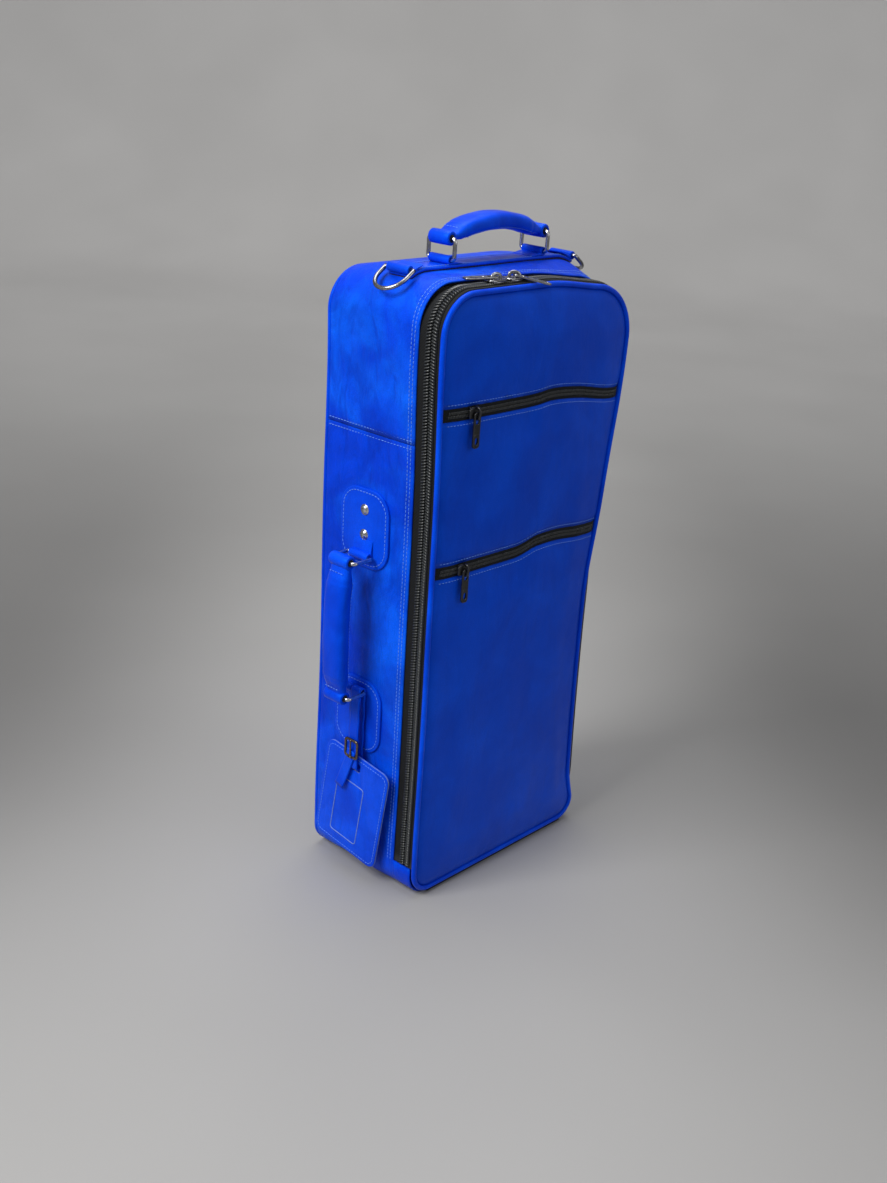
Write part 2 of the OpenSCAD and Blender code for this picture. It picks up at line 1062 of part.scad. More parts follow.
module tag_prong() {
  color(gunmetal)
    translate([outer_face_x - buckle_t - prong_r - 0.2, tag_strap_y, buckle_z + 4 - buckle_h / 2 + 1]) {
      cylinder(r = prong_r, h = buckle_h - 2);
      bar_y(prong_r, 3);
    }
}

module tag_card() {
  color(blue)
    translate([side_x, tag_strap_y, tag_slot_z])
      rotate([tag_tilt, 0, 0])
        translate([-tag_t / 2, 0, 0])
          rotate([90, 0, 90])
            linear_extrude(tag_t)
              difference() {
                translate([-4, tag_above_slot - tag_h / 2])
                  polygon(rounded(tag_w, tag_h, 9));
                translate([0, -0.5])
                  polygon(rounded(tag_strap_w + 5, strap_loop_out * 2 + 1.5, 2.2));
              }
}

gusset_top();
gusset_left();
gusset_right();
zip_end_corners();
back_panel();
back_piping();
base_panel();
base_board();
foam_back();
foam_left();
foam_right();
foam_top();
foam_base();
lining();
body_zip_tape();
body_zip_coil();
top_strap();
top_webbing();
top_chapes();
dring_chapes();
handle_patch_upper();
handle_patch_lower();
side_chape_upper();
side_chape_lower();
patch_rivets();
lid_panel_top();
lid_panel_middle();
lid_panel_bottom();
lid_piping();
lid_foam();
lid_lining();
lid_zip_tape();
lid_zip_coil();
pocket_zip_upper();
pocket_zip_lower();
pocket_bag_upper();
pocket_bag_lower();
slider_left();
pull_left();
slider_right();
pull_right();
pocket_slider_upper();
pocket_slider_lower();
pocket_pull_upper();
pocket_pull_lower();
top_ring_left();
top_ring_right();
top_grip();
top_grip_core();
side_ring_upper();
side_ring_lower();
side_grip();
side_grip_core();
dring_left();
dring_right();
tag_strap();
tag_buckle();
tag_prong();
tag_card();
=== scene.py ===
"""Looks of an upright soft leather instrument case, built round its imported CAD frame."""
import json
import math

import bmesh
import bpy
import numpy as np
from mathutils import Euler, Matrix, Vector


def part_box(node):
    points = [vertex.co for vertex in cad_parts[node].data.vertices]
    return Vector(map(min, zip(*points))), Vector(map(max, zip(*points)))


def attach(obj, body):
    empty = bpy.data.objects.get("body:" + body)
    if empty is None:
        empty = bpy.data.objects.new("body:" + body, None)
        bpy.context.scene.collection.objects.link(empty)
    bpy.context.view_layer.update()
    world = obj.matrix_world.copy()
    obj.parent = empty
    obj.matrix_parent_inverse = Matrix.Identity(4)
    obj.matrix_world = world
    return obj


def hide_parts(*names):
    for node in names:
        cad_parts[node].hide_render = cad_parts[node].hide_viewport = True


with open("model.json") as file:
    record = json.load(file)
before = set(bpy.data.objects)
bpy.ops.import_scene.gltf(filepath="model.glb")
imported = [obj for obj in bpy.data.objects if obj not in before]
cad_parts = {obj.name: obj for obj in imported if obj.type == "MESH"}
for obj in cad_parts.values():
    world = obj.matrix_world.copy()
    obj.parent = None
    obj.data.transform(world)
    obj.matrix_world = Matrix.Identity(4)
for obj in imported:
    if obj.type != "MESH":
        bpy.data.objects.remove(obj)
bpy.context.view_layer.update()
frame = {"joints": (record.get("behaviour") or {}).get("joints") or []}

MM = 0.001
JOINTS = {j["name"]: j for j in frame["joints"]}


# ------------------------------------------------------------ measures, in millimetres

def low(node):
    return np.array(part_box(node)[0]) / MM


def high(node):
    return np.array(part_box(node)[1]) / MM


def pivot(joint):
    return np.array(JOINTS[joint]["pos_m"]) / MM


FRONT_Y = -68.0
BACK_Y = high("back_panel")[1]
CASE_TOP = high("gusset_top")[2]
LID_TOP = high("lid_piping")[2]
LID_LOW = low("lid_piping")[2]
CHAIN_TOP = high("body_zip_tape")[2] + 2.2
PART_Y = (high("lid_zip_coil")[1] + low("body_zip_coil")[1]) / 2
GUSSET_Y = low("gusset_left")[1]
PIPING_R = 2.5
PIPING_Y = FRONT_Y + 2.0
ZIP_END = low("body_zip_coil")[2]
SEAM_Z = low("gusset_top")[2]
BASE_W, TOP_W = 244.0, 258.0
R_LEFT, R_RIGHT, R_BASE = 36.0, 50.0, 23.0
WAIST = {-1: 2.0, 1: 18.0}
WAIST_Z, WAIST_SPREAD = 245.0, 0.27
BASE_HALF = BASE_W / 2 - R_BASE
UPPER_ZIP = (low("pocket_zip_upper")[2] + high("pocket_zip_upper")[2]) / 2
LOWER_ZIP = (low("pocket_zip_lower")[2] + high("pocket_zip_lower")[2]) / 2
POCKET_GAP = 5.5
RUN_SLOPE = -JOINTS["pocket_slider_upper_travel"]["axis"][1]


# ------------------------------------------------------------ the case's outline

def half_w(z, side):
    bell = np.exp(-(((z - WAIST_Z) / (WAIST_SPREAD * CASE_TOP)) ** 2) / 2)
    return BASE_W / 2 + (TOP_W - BASE_W) / 2 * z / CASE_TOP - WAIST[side] * bell


def smooth(a, b, v):
    t = np.clip((v - a) / (b - a), 0, 1)
    return t * t * (3 - 2 * t)


def corner(side, up, r, inset, edge_z, a0, n):
    small = max(r - inset, 2.0)
    x = half_w(edge_z - up * r, side) - inset - small
    a = np.radians(np.linspace(a0, a0 + 90, n))
    return np.stack([side * x + small * np.cos(a), edge_z - up * (inset + small) + small * np.sin(a)], 1)


def outline(inset, top, base=0.0, n_corner=14, n_side=64, n_top=26, n_base=26):
    """The closed front outline brought in by inset, from the base's middle up the right side, as (N, 2)."""
    z0, z1 = R_BASE + 20.0, CASE_TOP - R_RIGHT - 14.0
    z = np.linspace(z0, z1, n_side)
    parts = [
        corner(1, -1, R_BASE, inset, base, -90, n_corner),
        np.stack([half_w(z, 1) - inset, z], 1),
        corner(1, 1, R_RIGHT, inset, top, 0, n_corner + 6),
        None,
        corner(-1, 1, R_LEFT, inset, top, 90, n_corner + 2),
        np.stack([-(half_w(z[::-1], -1) - inset), z[::-1]], 1),
        corner(-1, -1, R_BASE, inset, base, 180, n_corner),
    ]
    t = np.linspace(0, 1, n_top)[1:-1, None]
    parts[3] = parts[2][-1] * (1 - t) + parts[4][0] * t
    t = np.linspace(0, 1, n_base)[1:-1, None]
    bottom = parts[6][-1] * (1 - t) + parts[0][0] * t
    half = len(bottom) // 2
    return np.concatenate([bottom[half:], *parts, bottom[:half]])


def ripple(p, scale, seed, terms=7):
    """Soft seamless unevenness from -1 to 1 at points p, the same every run."""
    rng = np.random.default_rng(seed)
    out = np.zeros(len(p))
    for _ in range(terms):
        k = rng.normal(size=3)
        k *= (2 * math.pi / scale) / np.linalg.norm(k) * rng.uniform(0.6, 1.5)
        out += np.sin(p @ k + rng.uniform(0, 2 * math.pi))
    return out / terms * 1.6


def warp(p):
    """Turns the drawn shape into the soft one: sagging lid corner, crowned top, uneven walls."""
    p = np.array(p, float)
    x, y, z = p[:, 0].copy(), p[:, 1].copy(), p[:, 2].copy()
    near_top = smooth(480, 556, z)
    dy = y - 8
    crown = 0.8 - np.where(dy < 0, 4.2 * (dy / 50) ** 2, 6.0 * (dy / 60) ** 2)
    p[:, 2] += near_top * crown * smooth(-50, -38, y)
    sag = 9.0 * smooth(0, 95, x) * smooth(430, 556, z) * smooth(-12, -46, y)
    p[:, 2] -= sag
    lower_right = smooth(60, 108, x) * smooth(350, 250, z) * smooth(12, 60, z)
    p[:, 0] -= 7.0 * lower_right * smooth(-60.5, -62.5, y)
    p[:, 0] += 5.0 * lower_right * smooth(-62.5, -60.5, y) * smooth(0, -34, y)
    side = smooth(70, 118, np.abs(x)) * smooth(14, 60, z) * (1 - near_top)
    hardware = 1 - np.exp(-(((y - 12) / 40) ** 2)) * smooth(110, 140, z) * smooth(400, 370, z) * (x < 0)
    p[:, 0] += side * 1.5 * ripple(p * [0.3, 1, 1], 150, 3) * hardware
    front = smooth(-60, -66, y)
    for zip_z, dips in ((UPPER_ZIP, ((15, 45, 2.5), (115, 48, -9.0))),
                        (LOWER_ZIP, ((20, 52, 6.0), (105, 38, -1.5)))):
        wave = sum(h * np.exp(-(((x - c) / w) ** 2)) for c, w, h in dips)
        wave *= 1 - smooth(-116, -100, x) * smooth(10, -22, x)
        p[:, 2] += front * wave * np.exp(-(((z - zip_z) / 42) ** 2))
    return p


# ------------------------------------------------------------ mesh helpers

def make(name, verts, faces, mat, smooth_on=True):
    mesh = bpy.data.meshes.new(name)
    mesh.from_pydata((np.asarray(verts) * MM).tolist(), [], [list(map(int, f)) for f in faces])
    mesh.validate()
    obj = bpy.data.objects.new(name, mesh)
    bpy.context.scene.collection.objects.link(obj)
    mats = mat if isinstance(mat, (list, tuple)) else [mat]
    for m in mats:
        mesh.materials.append(m)
    if smooth_on:
        mesh.shade_smooth()
    return obj


def grid_faces(rows, cols, close_rows=False, close_cols=False):
    r = np.arange(rows if close_rows else rows - 1)
    c = np.arange(cols if close_cols else cols - 1)
    r, c = np.meshgrid(r, c, indexing="ij")
    r2, c2 = (r + 1) % rows, (c + 1) % cols
    return np.stack([r * cols + c, r * cols + c2, r2 * cols + c2, r2 * cols + c], -1).reshape(-1, 4)


def fix_normals(obj):
    bm = bmesh.new()
    bm.from_mesh(obj.data)
    bmesh.ops.recalc_face_normals(bm, faces=bm.faces)
    bm.to_mesh(obj.data)
    bm.free()


def cut(obj, point, normal):
    """Removes what lies on the normal's side of a plane, given in millimetres."""
    bm = bmesh.new()
    bm.from_mesh(obj.data)
    geom = bm.verts[:] + bm.edges[:] + bm.faces[:]
    bmesh.ops.bisect_plane(
        bm, geom=geom, plane_co=Vector(point) * MM, plane_no=Vector(normal), clear_outer=True
    )
    bm.to_mesh(obj.data)
    bm.free()
    return obj


def keep_box(obj, x=None, z=None):
    if x:
        cut(obj, (x[0], 0, 0), (-1, 0, 0))
        cut(obj, (x[1], 0, 0), (1, 0, 0))
    if z:
        cut(obj, (0, 0, z[0]), (0, 0, -1))
        cut(obj, (0, 0, z[1]), (0, 0, 1))
    return obj


def bend(obj):
    """Applies warp to a mesh's vertices."""
    mesh = obj.data
    co = np.zeros(len(mesh.vertices) * 3)
    mesh.vertices.foreach_get("co", co)
    mesh.vertices.foreach_set("co", (warp(co.reshape(-1, 3) / MM) * MM).ravel())
    mesh.update()
    return obj


def modify(obj, kind, **values):
    m = obj.modifiers.new(kind.title(), kind)
    for k, v in values.items():
        setattr(m, k, v)
    return m


def thicken(obj, mm, offset=-1.0, rim=None):
    modify(obj, "SOLIDIFY", thickness=mm * MM, offset=offset, use_even_offset=False)
    if rim is not None:
        obj.modifiers[-1].material_offset_rim = rim
    return obj


def join(name, objs):
    """Joins objects with their modifiers applied, as one new mesh."""
    dg = bpy.context.evaluated_depsgraph_get()
    bm = bmesh.new()
    mats = []
    for o in objs:
        dg.update()
        mesh = bpy.data.meshes.new_from_object(o.evaluated_get(dg))
        mesh.transform(o.matrix_world)
        index = []
        for m in mesh.materials:
            if m not in mats:
                mats.append(m)
            index.append(mats.index(m))
        for poly in mesh.polygons:
            poly.material_index = index[poly.material_index] if index else 0
        bm.from_mesh(mesh)
        bpy.data.meshes.remove(mesh)
        bpy.data.objects.remove(o)
    out = bpy.data.meshes.new(name)
    bm.to_mesh(out)
    bm.free()
    for m in mats:
        out.materials.append(m)
    obj = bpy.data.objects.new(name, out)
    bpy.context.scene.collection.objects.link(obj)
    return obj


def place(obj, body, replaces=()):
    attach(obj, body)
    if replaces:
        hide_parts(*replaces)
    return obj


def ring_band(name, profile, top, mat, base=0.0, closed=False, warped=True):
    """Carries a cross-section, [(inset, y), ...], round the outline."""
    rows = [np.insert(outline(i, top, base), 1, y, axis=1) for i, y in profile]
    n = len(rows[0])
    obj = make(name, np.concatenate(rows), grid_faces(len(rows), n, closed, True), mat)
    fix_normals(obj)
    return bend(obj) if warped else obj


def frames_along(path, closed):
    t = np.roll(path, -1, 0) - np.roll(path, 1, 0) if closed else np.gradient(path, axis=0)
    t /= np.linalg.norm(t, axis=1)[:, None]
    start = np.array([0, 0, 1.0]) if abs(t[0][2]) < 0.8 else np.array([0, 1.0, 0])
    u = np.zeros_like(t)
    prev = start
    for i, d in enumerate(t):
        v = prev - d * np.dot(prev, d)
        u[i] = v / np.linalg.norm(v)
        prev = u[i]
    return t, u, np.cross(t, u)


def tube(name, path, radius, mat, closed=False, sides=12, flat=(1.0, 1.0)):
    """A round or flattened tube along a path; radius may vary along it."""
    path = np.asarray(path, float)
    _, u, v = frames_along(path, closed)
    r = np.broadcast_to(np.asarray(radius, float), (len(path),))
    a = np.linspace(0, 2 * math.pi, sides, endpoint=False)
    verts = (
        path[:, None]
        + u[:, None] * (np.cos(a)[None, :, None] * r[:, None, None] * flat[0])
        + v[:, None] * (np.sin(a)[None, :, None] * r[:, None, None] * flat[1])
    )
    faces = grid_faces(len(path), sides, closed, True).tolist()
    if not closed:
        faces += [list(range(sides))[::-1], [(len(path) - 1) * sides + i for i in range(sides)]]
    obj = make(name, verts.reshape(-1, 3), faces, mat)
    fix_normals(obj)
    return obj


def resample(path, step, closed=False):
    """Points at an even spacing along a path, with their directions."""
    path = np.asarray(path, float)
    if closed:
        path = np.vstack([path, path[:1]])
    seg = np.linalg.norm(np.diff(path, axis=0), axis=1)
    s = np.concatenate([[0], np.cumsum(seg)])
    n = max(2, int(round(s[-1] / step)))
    at = (np.arange(n) + 0.5) * s[-1] / n
    p = np.stack([np.interp(at, s, path[:, k]) for k in range(3)], 1)
    q = np.stack([np.interp(at + 0.2, s, path[:, k]) for k in range(3)], 1)
    t = q - np.stack([np.interp(at - 0.2, s, path[:, k]) for k in range(3)], 1)
    return p, t / np.linalg.norm(t, axis=1)[:, None]


def stitches(name, paths, outs, mat, pitch=3.6, length=2.7, r=0.36, closed=False):
    """Rows of thread lying on a surface: each path has its outward direction or directions."""
    lon = np.linspace(0, 2 * math.pi, 6, endpoint=False)
    stations = ((-0.5, 0.15), (-0.38, 0.75), (0, 1.0), (0.38, 0.75), (0.5, 0.15))
    unit = np.array([[k, c * math.cos(a), c * math.sin(a)] for k, c in stations for a in lon])
    faces = grid_faces(len(stations), 6, False, True)
    verts, all_faces, count = [], [], 0
    for path, out in zip(paths, outs):
        p, t = resample(path, pitch, closed)
        if np.ndim(out) == 1:
            o = np.tile(np.asarray(out, float), (len(p), 1))
        else:
            o, _ = resample_values(path, out, len(p), closed)
        o = o - t * np.sum(o * t, 1)[:, None]
        o /= np.linalg.norm(o, axis=1)[:, None]
        b = np.cross(t, o)
        sag = 0.5 - 2.0 * unit[:, 0] ** 2
        v = (
            p[:, None]
            + t[:, None] * (unit[:, 0] * length)[None, :, None]
            + o[:, None] * ((unit[:, 1] + sag * 0.8) * r)[None, :, None]
            + b[:, None] * (unit[:, 2] * r)[None, :, None]
        )
        for k in range(len(p)):
            all_faces.append(faces + count)
            count += len(unit)
        verts.append(v.reshape(-1, 3))
    return make(name, np.concatenate(verts), np.concatenate(all_faces), mat)


def resample_values(path, values, n, closed):
    path, values = np.asarray(path, float), np.asarray(values, float)
    if closed:
        path, values = np.vstack([path, path[:1]]), np.vstack([values, values[:1]])
    s = np.concatenate([[0], np.cumsum(np.linalg.norm(np.diff(path, axis=0), axis=1))])
    at = (np.arange(n) + 0.5) * s[-1] / n
    return np.stack([np.interp(at, s, values[:, k]) for k in range(3)], 1), s[-1]


def rail(inset, y, top, base=0.0):
    """A line round the outline and the way out of the case at each of its points."""
    p = outline(inset, top, base)
    t = np.roll(p, -1, 0) - np.roll(p, 1, 0)
    out = np.stack([t[:, 1], -t[:, 0]], 1)
    out /= np.linalg.norm(out, axis=1)[:, None]
    return np.insert(p, 1, y, axis=1), np.insert(out, 1, 0.0, axis=1)


def above(path, out, z):
    """The stretch of a closed rail above a height, in order from the right end over the top to the left."""
    fine = np.arange(0, len(path) - 1, 0.125)
    at = np.arange(len(path))
    path = np.stack([np.interp(fine, at, path[:, k]) for k in range(3)], 1)
    out = np.stack([np.interp(fine, at, out[:, k]) for k in range(3)], 1)
    keep = path[:, 2] >= z
    return path[keep][::4], out[keep][::4]


def rounded_rect(w, h, r, n=8):
    pts = []
    for cx, cy, a0 in ((w / 2 - r, h / 2 - r, 0), (r - w / 2, h / 2 - r, 90),
                       (r - w / 2, r - h / 2, 180), (w / 2 - r, r - h / 2, 270)):
        a = np.radians(np.linspace(a0, a0 + 90, n))
        pts.append(np.stack([cx + r * np.cos(a), cy + r * np.sin(a)], 1))
    return np.concatenate(pts)


def plate(name, loops, thick, bevel, mat, at=None, steps=3):
    """A flat plate with rounded edges from closed loops in XY, outline first and then its holes.
    at is a 4x4 in millimetres that puts it in place; the plate is centred on its own Z = 0."""
    curve = bpy.data.curves.new(name, "CURVE")
    curve.dimensions = "2D"
    curve.fill_mode = "BOTH"
    curve.extrude = max(thick / 2 - bevel, 0.01) * MM
    curve.bevel_depth = bevel * MM
    curve.bevel_resolution = steps
    curve.offset = -bevel * MM
    for pts in loops:
        s = curve.splines.new("POLY")
        s.points.add(len(pts) - 1)
        for p, q in zip(s.points, pts):
            p.co = (q[0] * MM, q[1] * MM, 0, 1)
        s.use_cyclic_u = True
    temp = bpy.data.objects.new(name + "_c", curve)
    bpy.context.scene.collection.objects.link(temp)
    dg = bpy.context.evaluated_depsgraph_get()
    mesh = bpy.data.meshes.new_from_object(temp.evaluated_get(dg))
    bpy.data.objects.remove(temp)
    mesh.name = name
    bm = bmesh.new()
    bm.from_mesh(mesh)
    bmesh.ops.remove_doubles(bm, verts=bm.verts, dist=0.00001)
    bmesh.ops.recalc_face_normals(bm, faces=bm.faces)
    if at is not None:
        m = at.copy()
        m.translation = m.translation * MM
        bm.transform(m)
    bm.to_mesh(mesh)
    bm.free()
    mesh.materials.clear()
    mesh.materials.append(mat)
    obj = bpy.data.objects.new(name, mesh)
    bpy.context.scene.collection.objects.link(obj)
    mesh.shade_smooth()
    modify(obj, "EDGE_SPLIT", split_angle=math.radians(50))
    return obj


def lathe(name, profile, at, mat, sides=24):
    """Turns a profile, [(radius, height), ...], about Z, then puts it in place with a 4x4 in millimetres."""
    a = np.linspace(0, 2 * math.pi, sides, endpoint=False)
    verts = [[r * math.cos(t), r * math.sin(t), h] for r, h in profile for t in a]
    verts = [tuple(at @ Vector(v)) for v in verts]
    faces = grid_faces(len(profile), sides, False, True).tolist()
    faces.append([(len(profile) - 1) * sides + i for i in range(sides)])
    obj = make(name, verts, faces, mat)
    fix_normals(obj)
    return obj


def pose(x, y, z, rx=0, ry=0, rz=0):
    turn = Euler([math.radians(v) for v in (rx, ry, rz)]).to_matrix().to_4x4()
    return Matrix.Translation((x, y, z)) @ turn


# ------------------------------------------------------------ materials

class Nodes:
    """Short names for building one material."""

    def __init__(self, name):
        self.mat = bpy.data.materials.new(name)
        self.mat.use_nodes = True
        self.tree = self.mat.node_tree
        self.bsdf = self.tree.nodes["Principled BSDF"]
        self.coord = self.add("ShaderNodeTexCoord").outputs["Object"]

    def add(self, kind, **values):
        node = self.tree.nodes.new(kind)
        for k, v in values.items():
            if hasattr(node, k):
                setattr(node, k, v)
            else:
                node.inputs[k.replace("_", " ")].default_value = v
        return node

    def link(self, a, b):
        self.tree.links.new(a, b)

    def scaled(self, scale):
        m = self.add("ShaderNodeMapping")
        m.inputs["Scale"].default_value = scale
        self.link(self.coord, m.inputs["Vector"])
        return m.outputs["Vector"]

    def noise(self, scale, detail=4.0, rough=0.55, vector=None, distortion=0.0):
        n = self.add("ShaderNodeTexNoise", Scale=scale, Detail=detail, Roughness=rough, Distortion=distortion)
        self.link(vector or self.coord, n.inputs["Vector"])
        return n.outputs["Fac"]

    def cells(self, scale, feature="DISTANCE_TO_EDGE", vector=None):
        n = self.add("ShaderNodeTexVoronoi", feature=feature, Scale=scale)
        self.link(vector or self.coord, n.inputs["Vector"])
        return n.outputs["Distance"]

    def wave(self, scale, vector=None, direction="X", distortion=0.0):
        n = self.add("ShaderNodeTexWave", Scale=scale, Distortion=distortion, bands_direction=direction)
        self.link(vector or self.coord, n.inputs["Vector"])
        return n.outputs["Fac"]

    def ramp(self, fac, low_pos, high_pos, a, b):
        r = self.add("ShaderNodeValToRGB")
        r.color_ramp.elements[0].position = low_pos
        r.color_ramp.elements[1].position = high_pos
        r.color_ramp.elements[0].color = (*a, 1) if len(a) == 3 else a
        r.color_ramp.elements[1].color = (*b, 1) if len(b) == 3 else b
        self.link(fac, r.inputs["Fac"])
        return r.outputs["Color"]

    def math(self, op, a, b):
        m = self.add("ShaderNodeMath", operation=op)
        for i, v in enumerate((a, b)):
            if isinstance(v, (int, float)):
                m.inputs[i].default_value = v
            else:
                self.link(v, m.inputs[i])
        return m.outputs[0]

    def mix(self, fac, a, b, kind="MIX"):
        m = self.add("ShaderNodeMix", data_type="RGBA", blend_type=kind)
        for socket, v in ((m.inputs[0], fac), (m.inputs[6], a), (m.inputs[7], b)):
            if isinstance(v, (int, float)):
                socket.default_value = v
            elif isinstance(v, tuple):
                socket.default_value = (*v, 1)
            else:
                self.link(v, socket)
        return m.outputs[2]

    def bump(self, height, strength, distance, under=None):
        b = self.add("ShaderNodeBump")
        b.inputs["Strength"].default_value = strength
        b.inputs["Distance"].default_value = distance
        self.link(height, b.inputs["Height"])
        if under is not None:
            self.link(under, b.inputs["Normal"])
        return b.outputs["Normal"]

    def finish(self, color=None, rough=None, normal=None, **fixed):
        for socket, v in (("Base Color", color), ("Roughness", rough), ("Normal", normal)):
            if v is None:
                continue
            if isinstance(v, (int, float, tuple)):
                self.bsdf.inputs[socket].default_value = (*v, 1) if isinstance(v, tuple) else v
            else:
                self.link(v, self.bsdf.inputs[socket])
        for k, v in fixed.items():
            self.bsdf.inputs[k.replace("_", " ")].default_value = v
        return self.mat


def leather(name, dark, mid, light, grain=1.0, creases=1.0, rough=(0.36, 0.5), mottle_and_shade=0.55):
    n = Nodes(name)
    cloud = n.noise(13.0, 4.0, 0.55, distortion=0.8)
    patch = n.noise(26.0, 5.0, 0.6, distortion=0.4)
    fine = n.noise(900.0, 3.0, 0.6)
    pebble = n.cells(1150.0)
    fold_and_crease_shade = n.noise(60.0, 6.0, 0.62, vector=n.scaled((1.0, 1.0, 0.32)), distortion=1.3)
    # Light clouds and dark patches mixed into the base colour are partly the leather's own uneven tone and partly
    # painted highlight streaks and painted shade.
    base = n.mix(n.ramp(cloud, 0.42, 0.66, (0, 0, 0), (1, 1, 1)), mid, light)
    base = n.mix(n.ramp(patch, 0.34, 0.6, (mottle_and_shade,) * 3, (0, 0, 0)), base, dark)
    # The fold noise darkens the colour where its bump below sinks, as painted shade in the creases.
    base = n.mix(n.ramp(fold_and_crease_shade, 0.3, 0.5, (mottle_and_shade,) * 3, (0, 0, 0)), base, dark)
    base = n.mix(n.ramp(fine, 0.35, 0.7, (0.25,) * 3, (0, 0, 0)), base, dark)
    base = n.mix(n.ramp(pebble, 0.0, 0.12, (0.35,) * 3, (0, 0, 0)), base, dark)
    r = n.ramp(n.noise(70.0, 4.0), 0.3, 0.7, (rough[0],) * 3, (rough[1],) * 3)
    normal = n.bump(n.ramp(fold_and_crease_shade, 0.36, 0.66, (0, 0, 0), (1, 1, 1)), 0.35 * creases, 0.0011)
    normal = n.bump(patch, 0.3 * creases, 0.0012, normal)
    normal = n.bump(n.ramp(pebble, 0.0, 0.22, (0, 0, 0), (1, 1, 1)), 0.35 * grain, 0.00012, normal)
    normal = n.bump(fine, 0.25 * grain, 0.0001, normal)
    tint = (*(min(4.0 * v, 1.0) for v in light), 1)
    return n.finish(base, r, normal, Specular_IOR_Level=0.34, Specular_Tint=tint)


def woven(name, color, light, scale=1500.0, rough=0.75, sheen=0.3):
    n = Nodes(name)
    a = n.wave(scale / 6, direction="DIAGONAL")
    b = n.wave(scale / 6, vector=n.scaled((1, -1, 1)), direction="DIAGONAL")
    weave = n.math("MULTIPLY", a, b)
    dust = n.noise(180.0, 5.0)
    col = n.mix(n.ramp(weave, 0.1, 0.8, (0, 0, 0), (0.7,) * 3), color, light)
    col = n.mix(n.ramp(dust, 0.45, 0.8, (0, 0, 0), (0.3,) * 3), col, light)
    normal = n.bump(weave, 0.6, 0.00025)
    return n.finish(col, rough, normal, Sheen_Weight=sheen, Sheen_Roughness=0.4, Specular_IOR_Level=0.2)


def plain(name, color, light, rough, metal=0.0, scale=300.0, bump=0.1, coat=0.0):
    n = Nodes(name)
    speck = n.noise(scale, 5.0)
    wide = n.noise(45.0, 3.0)
    col = n.mix(n.ramp(speck, 0.35, 0.75, (0, 0, 0), (1, 1, 1)), color, light)
    r = n.ramp(wide, 0.3, 0.7, (max(rough - 0.06, 0.02),) * 3, (rough + 0.08,) * 3)
    return n.finish(col, r, n.bump(speck, bump, 0.00008), Metallic=metal, Coat_Weight=coat)


def thread(name, color, light):
    n = Nodes(name)
    twist = n.wave(900.0, direction="DIAGONAL")
    col = n.mix(n.ramp(twist, 0.2, 0.8, (0, 0, 0), (1, 1, 1)), color, light)
    return n.finish(col, 0.55, n.bump(twist, 0.5, 0.0001), Sheen_Weight=0.3)


BLUE = leather("leather_side", (0.0006, 0.018, 0.36), (0.001, 0.05, 0.76), (0.003, 0.13, 1.0), mottle_and_shade=0.55)
FRONT_BLUE = leather(
    "leather_front", (0.001, 0.03, 0.38), (0.002, 0.052, 0.56), (0.002, 0.07, 0.68),
    grain=0.55, creases=0.3, rough=(0.38, 0.47), mottle_and_shade=0.25,
)
TRIM_BLUE = leather(
    "leather_trim", (0.001, 0.025, 0.42), (0.001, 0.052, 0.7), (0.002, 0.09, 0.92),
    grain=0.6, creases=0.35, rough=(0.3, 0.42), mottle_and_shade=0.35,
)
CUT_EDGE = plain("leather_edge", (0.1, 0.17, 0.42), (0.2, 0.3, 0.6), 0.7, scale=700.0, bump=0.5)
BLACK_LEATHER = leather(
    "leather_base", (0.004, 0.004, 0.005), (0.008, 0.008, 0.009), (0.014, 0.014, 0.016), creases=0.5,
)
THREAD = thread("thread_blue", (0.03, 0.14, 0.62), (0.1, 0.3, 0.85))
TAPE = woven("zip_tape", (0.002, 0.0024, 0.003), (0.01, 0.012, 0.014), sheen=0.08)
WEBBING = woven("webbing", (0.005, 0.005, 0.006), (0.03, 0.03, 0.034), scale=900.0)
COIL = plain("zip_coil", (0.016, 0.018, 0.02), (0.04, 0.045, 0.047), 0.28, scale=500.0, coat=0.2)
ENAMEL = plain("slider_enamel", (0.006, 0.006, 0.007), (0.018, 0.018, 0.02), 0.3, metal=0.3, coat=0.4)
GUNMETAL = plain("gunmetal", (0.24, 0.24, 0.25), (0.4, 0.4, 0.42), 0.2, metal=1.0, scale=420.0)
NICKEL = plain("nickel", (0.42, 0.42, 0.43), (0.62, 0.62, 0.63), 0.17, metal=1.0, scale=380.0)
BRONZE = plain("bronze", (0.11, 0.08, 0.06), (0.22, 0.17, 0.13), 0.28, metal=1.0, scale=420.0)
VELOUR = woven("lining", (0.02, 0.022, 0.028), (0.06, 0.064, 0.075), scale=700.0, rough=0.9, sheen=0.8)


# ------------------------------------------------------------ body leather

def add_wrinkles(obj, scale, height, seed, keep_y=None):
    """Moves a wall's skin in and out along its own normals."""
    mesh = obj.data
    n = len(mesh.vertices)
    co, no = np.zeros(n * 3), np.zeros(n * 3)
    mesh.vertices.foreach_get("co", co)
    mesh.vertices.foreach_get("normal", no)
    co, no = co.reshape(-1, 3) / MM, no.reshape(-1, 3)
    amount = height * ripple(co, scale, seed) + height * 0.35 * ripple(co, scale * 0.37, seed + 9)
    amount -= height * 0.9 * np.abs(ripple(co * [1, 1.0, 0.55], scale * 0.6, seed + 4)) ** 3
    if keep_y is not None:
        amount *= smooth(keep_y[0], keep_y[0] + 14, co[:, 1]) * smooth(keep_y[1], keep_y[1] - 14, co[:, 1])
    beside_handle = smooth(118, 132, co[:, 2]) * smooth(392, 378, co[:, 2]) * (co[:, 0] < 0)
    amount *= 1 - np.exp(-(((co[:, 1] - 12) / 34) ** 2)) * beside_handle
    amount *= 1 - np.exp(-((co[:, 1] / 16) ** 2)) * smooth(520, 545, co[:, 2])
    co += no * amount[:, None]
    mesh.vertices.foreach_set("co", (co * MM).ravel())
    mesh.update()
    return obj


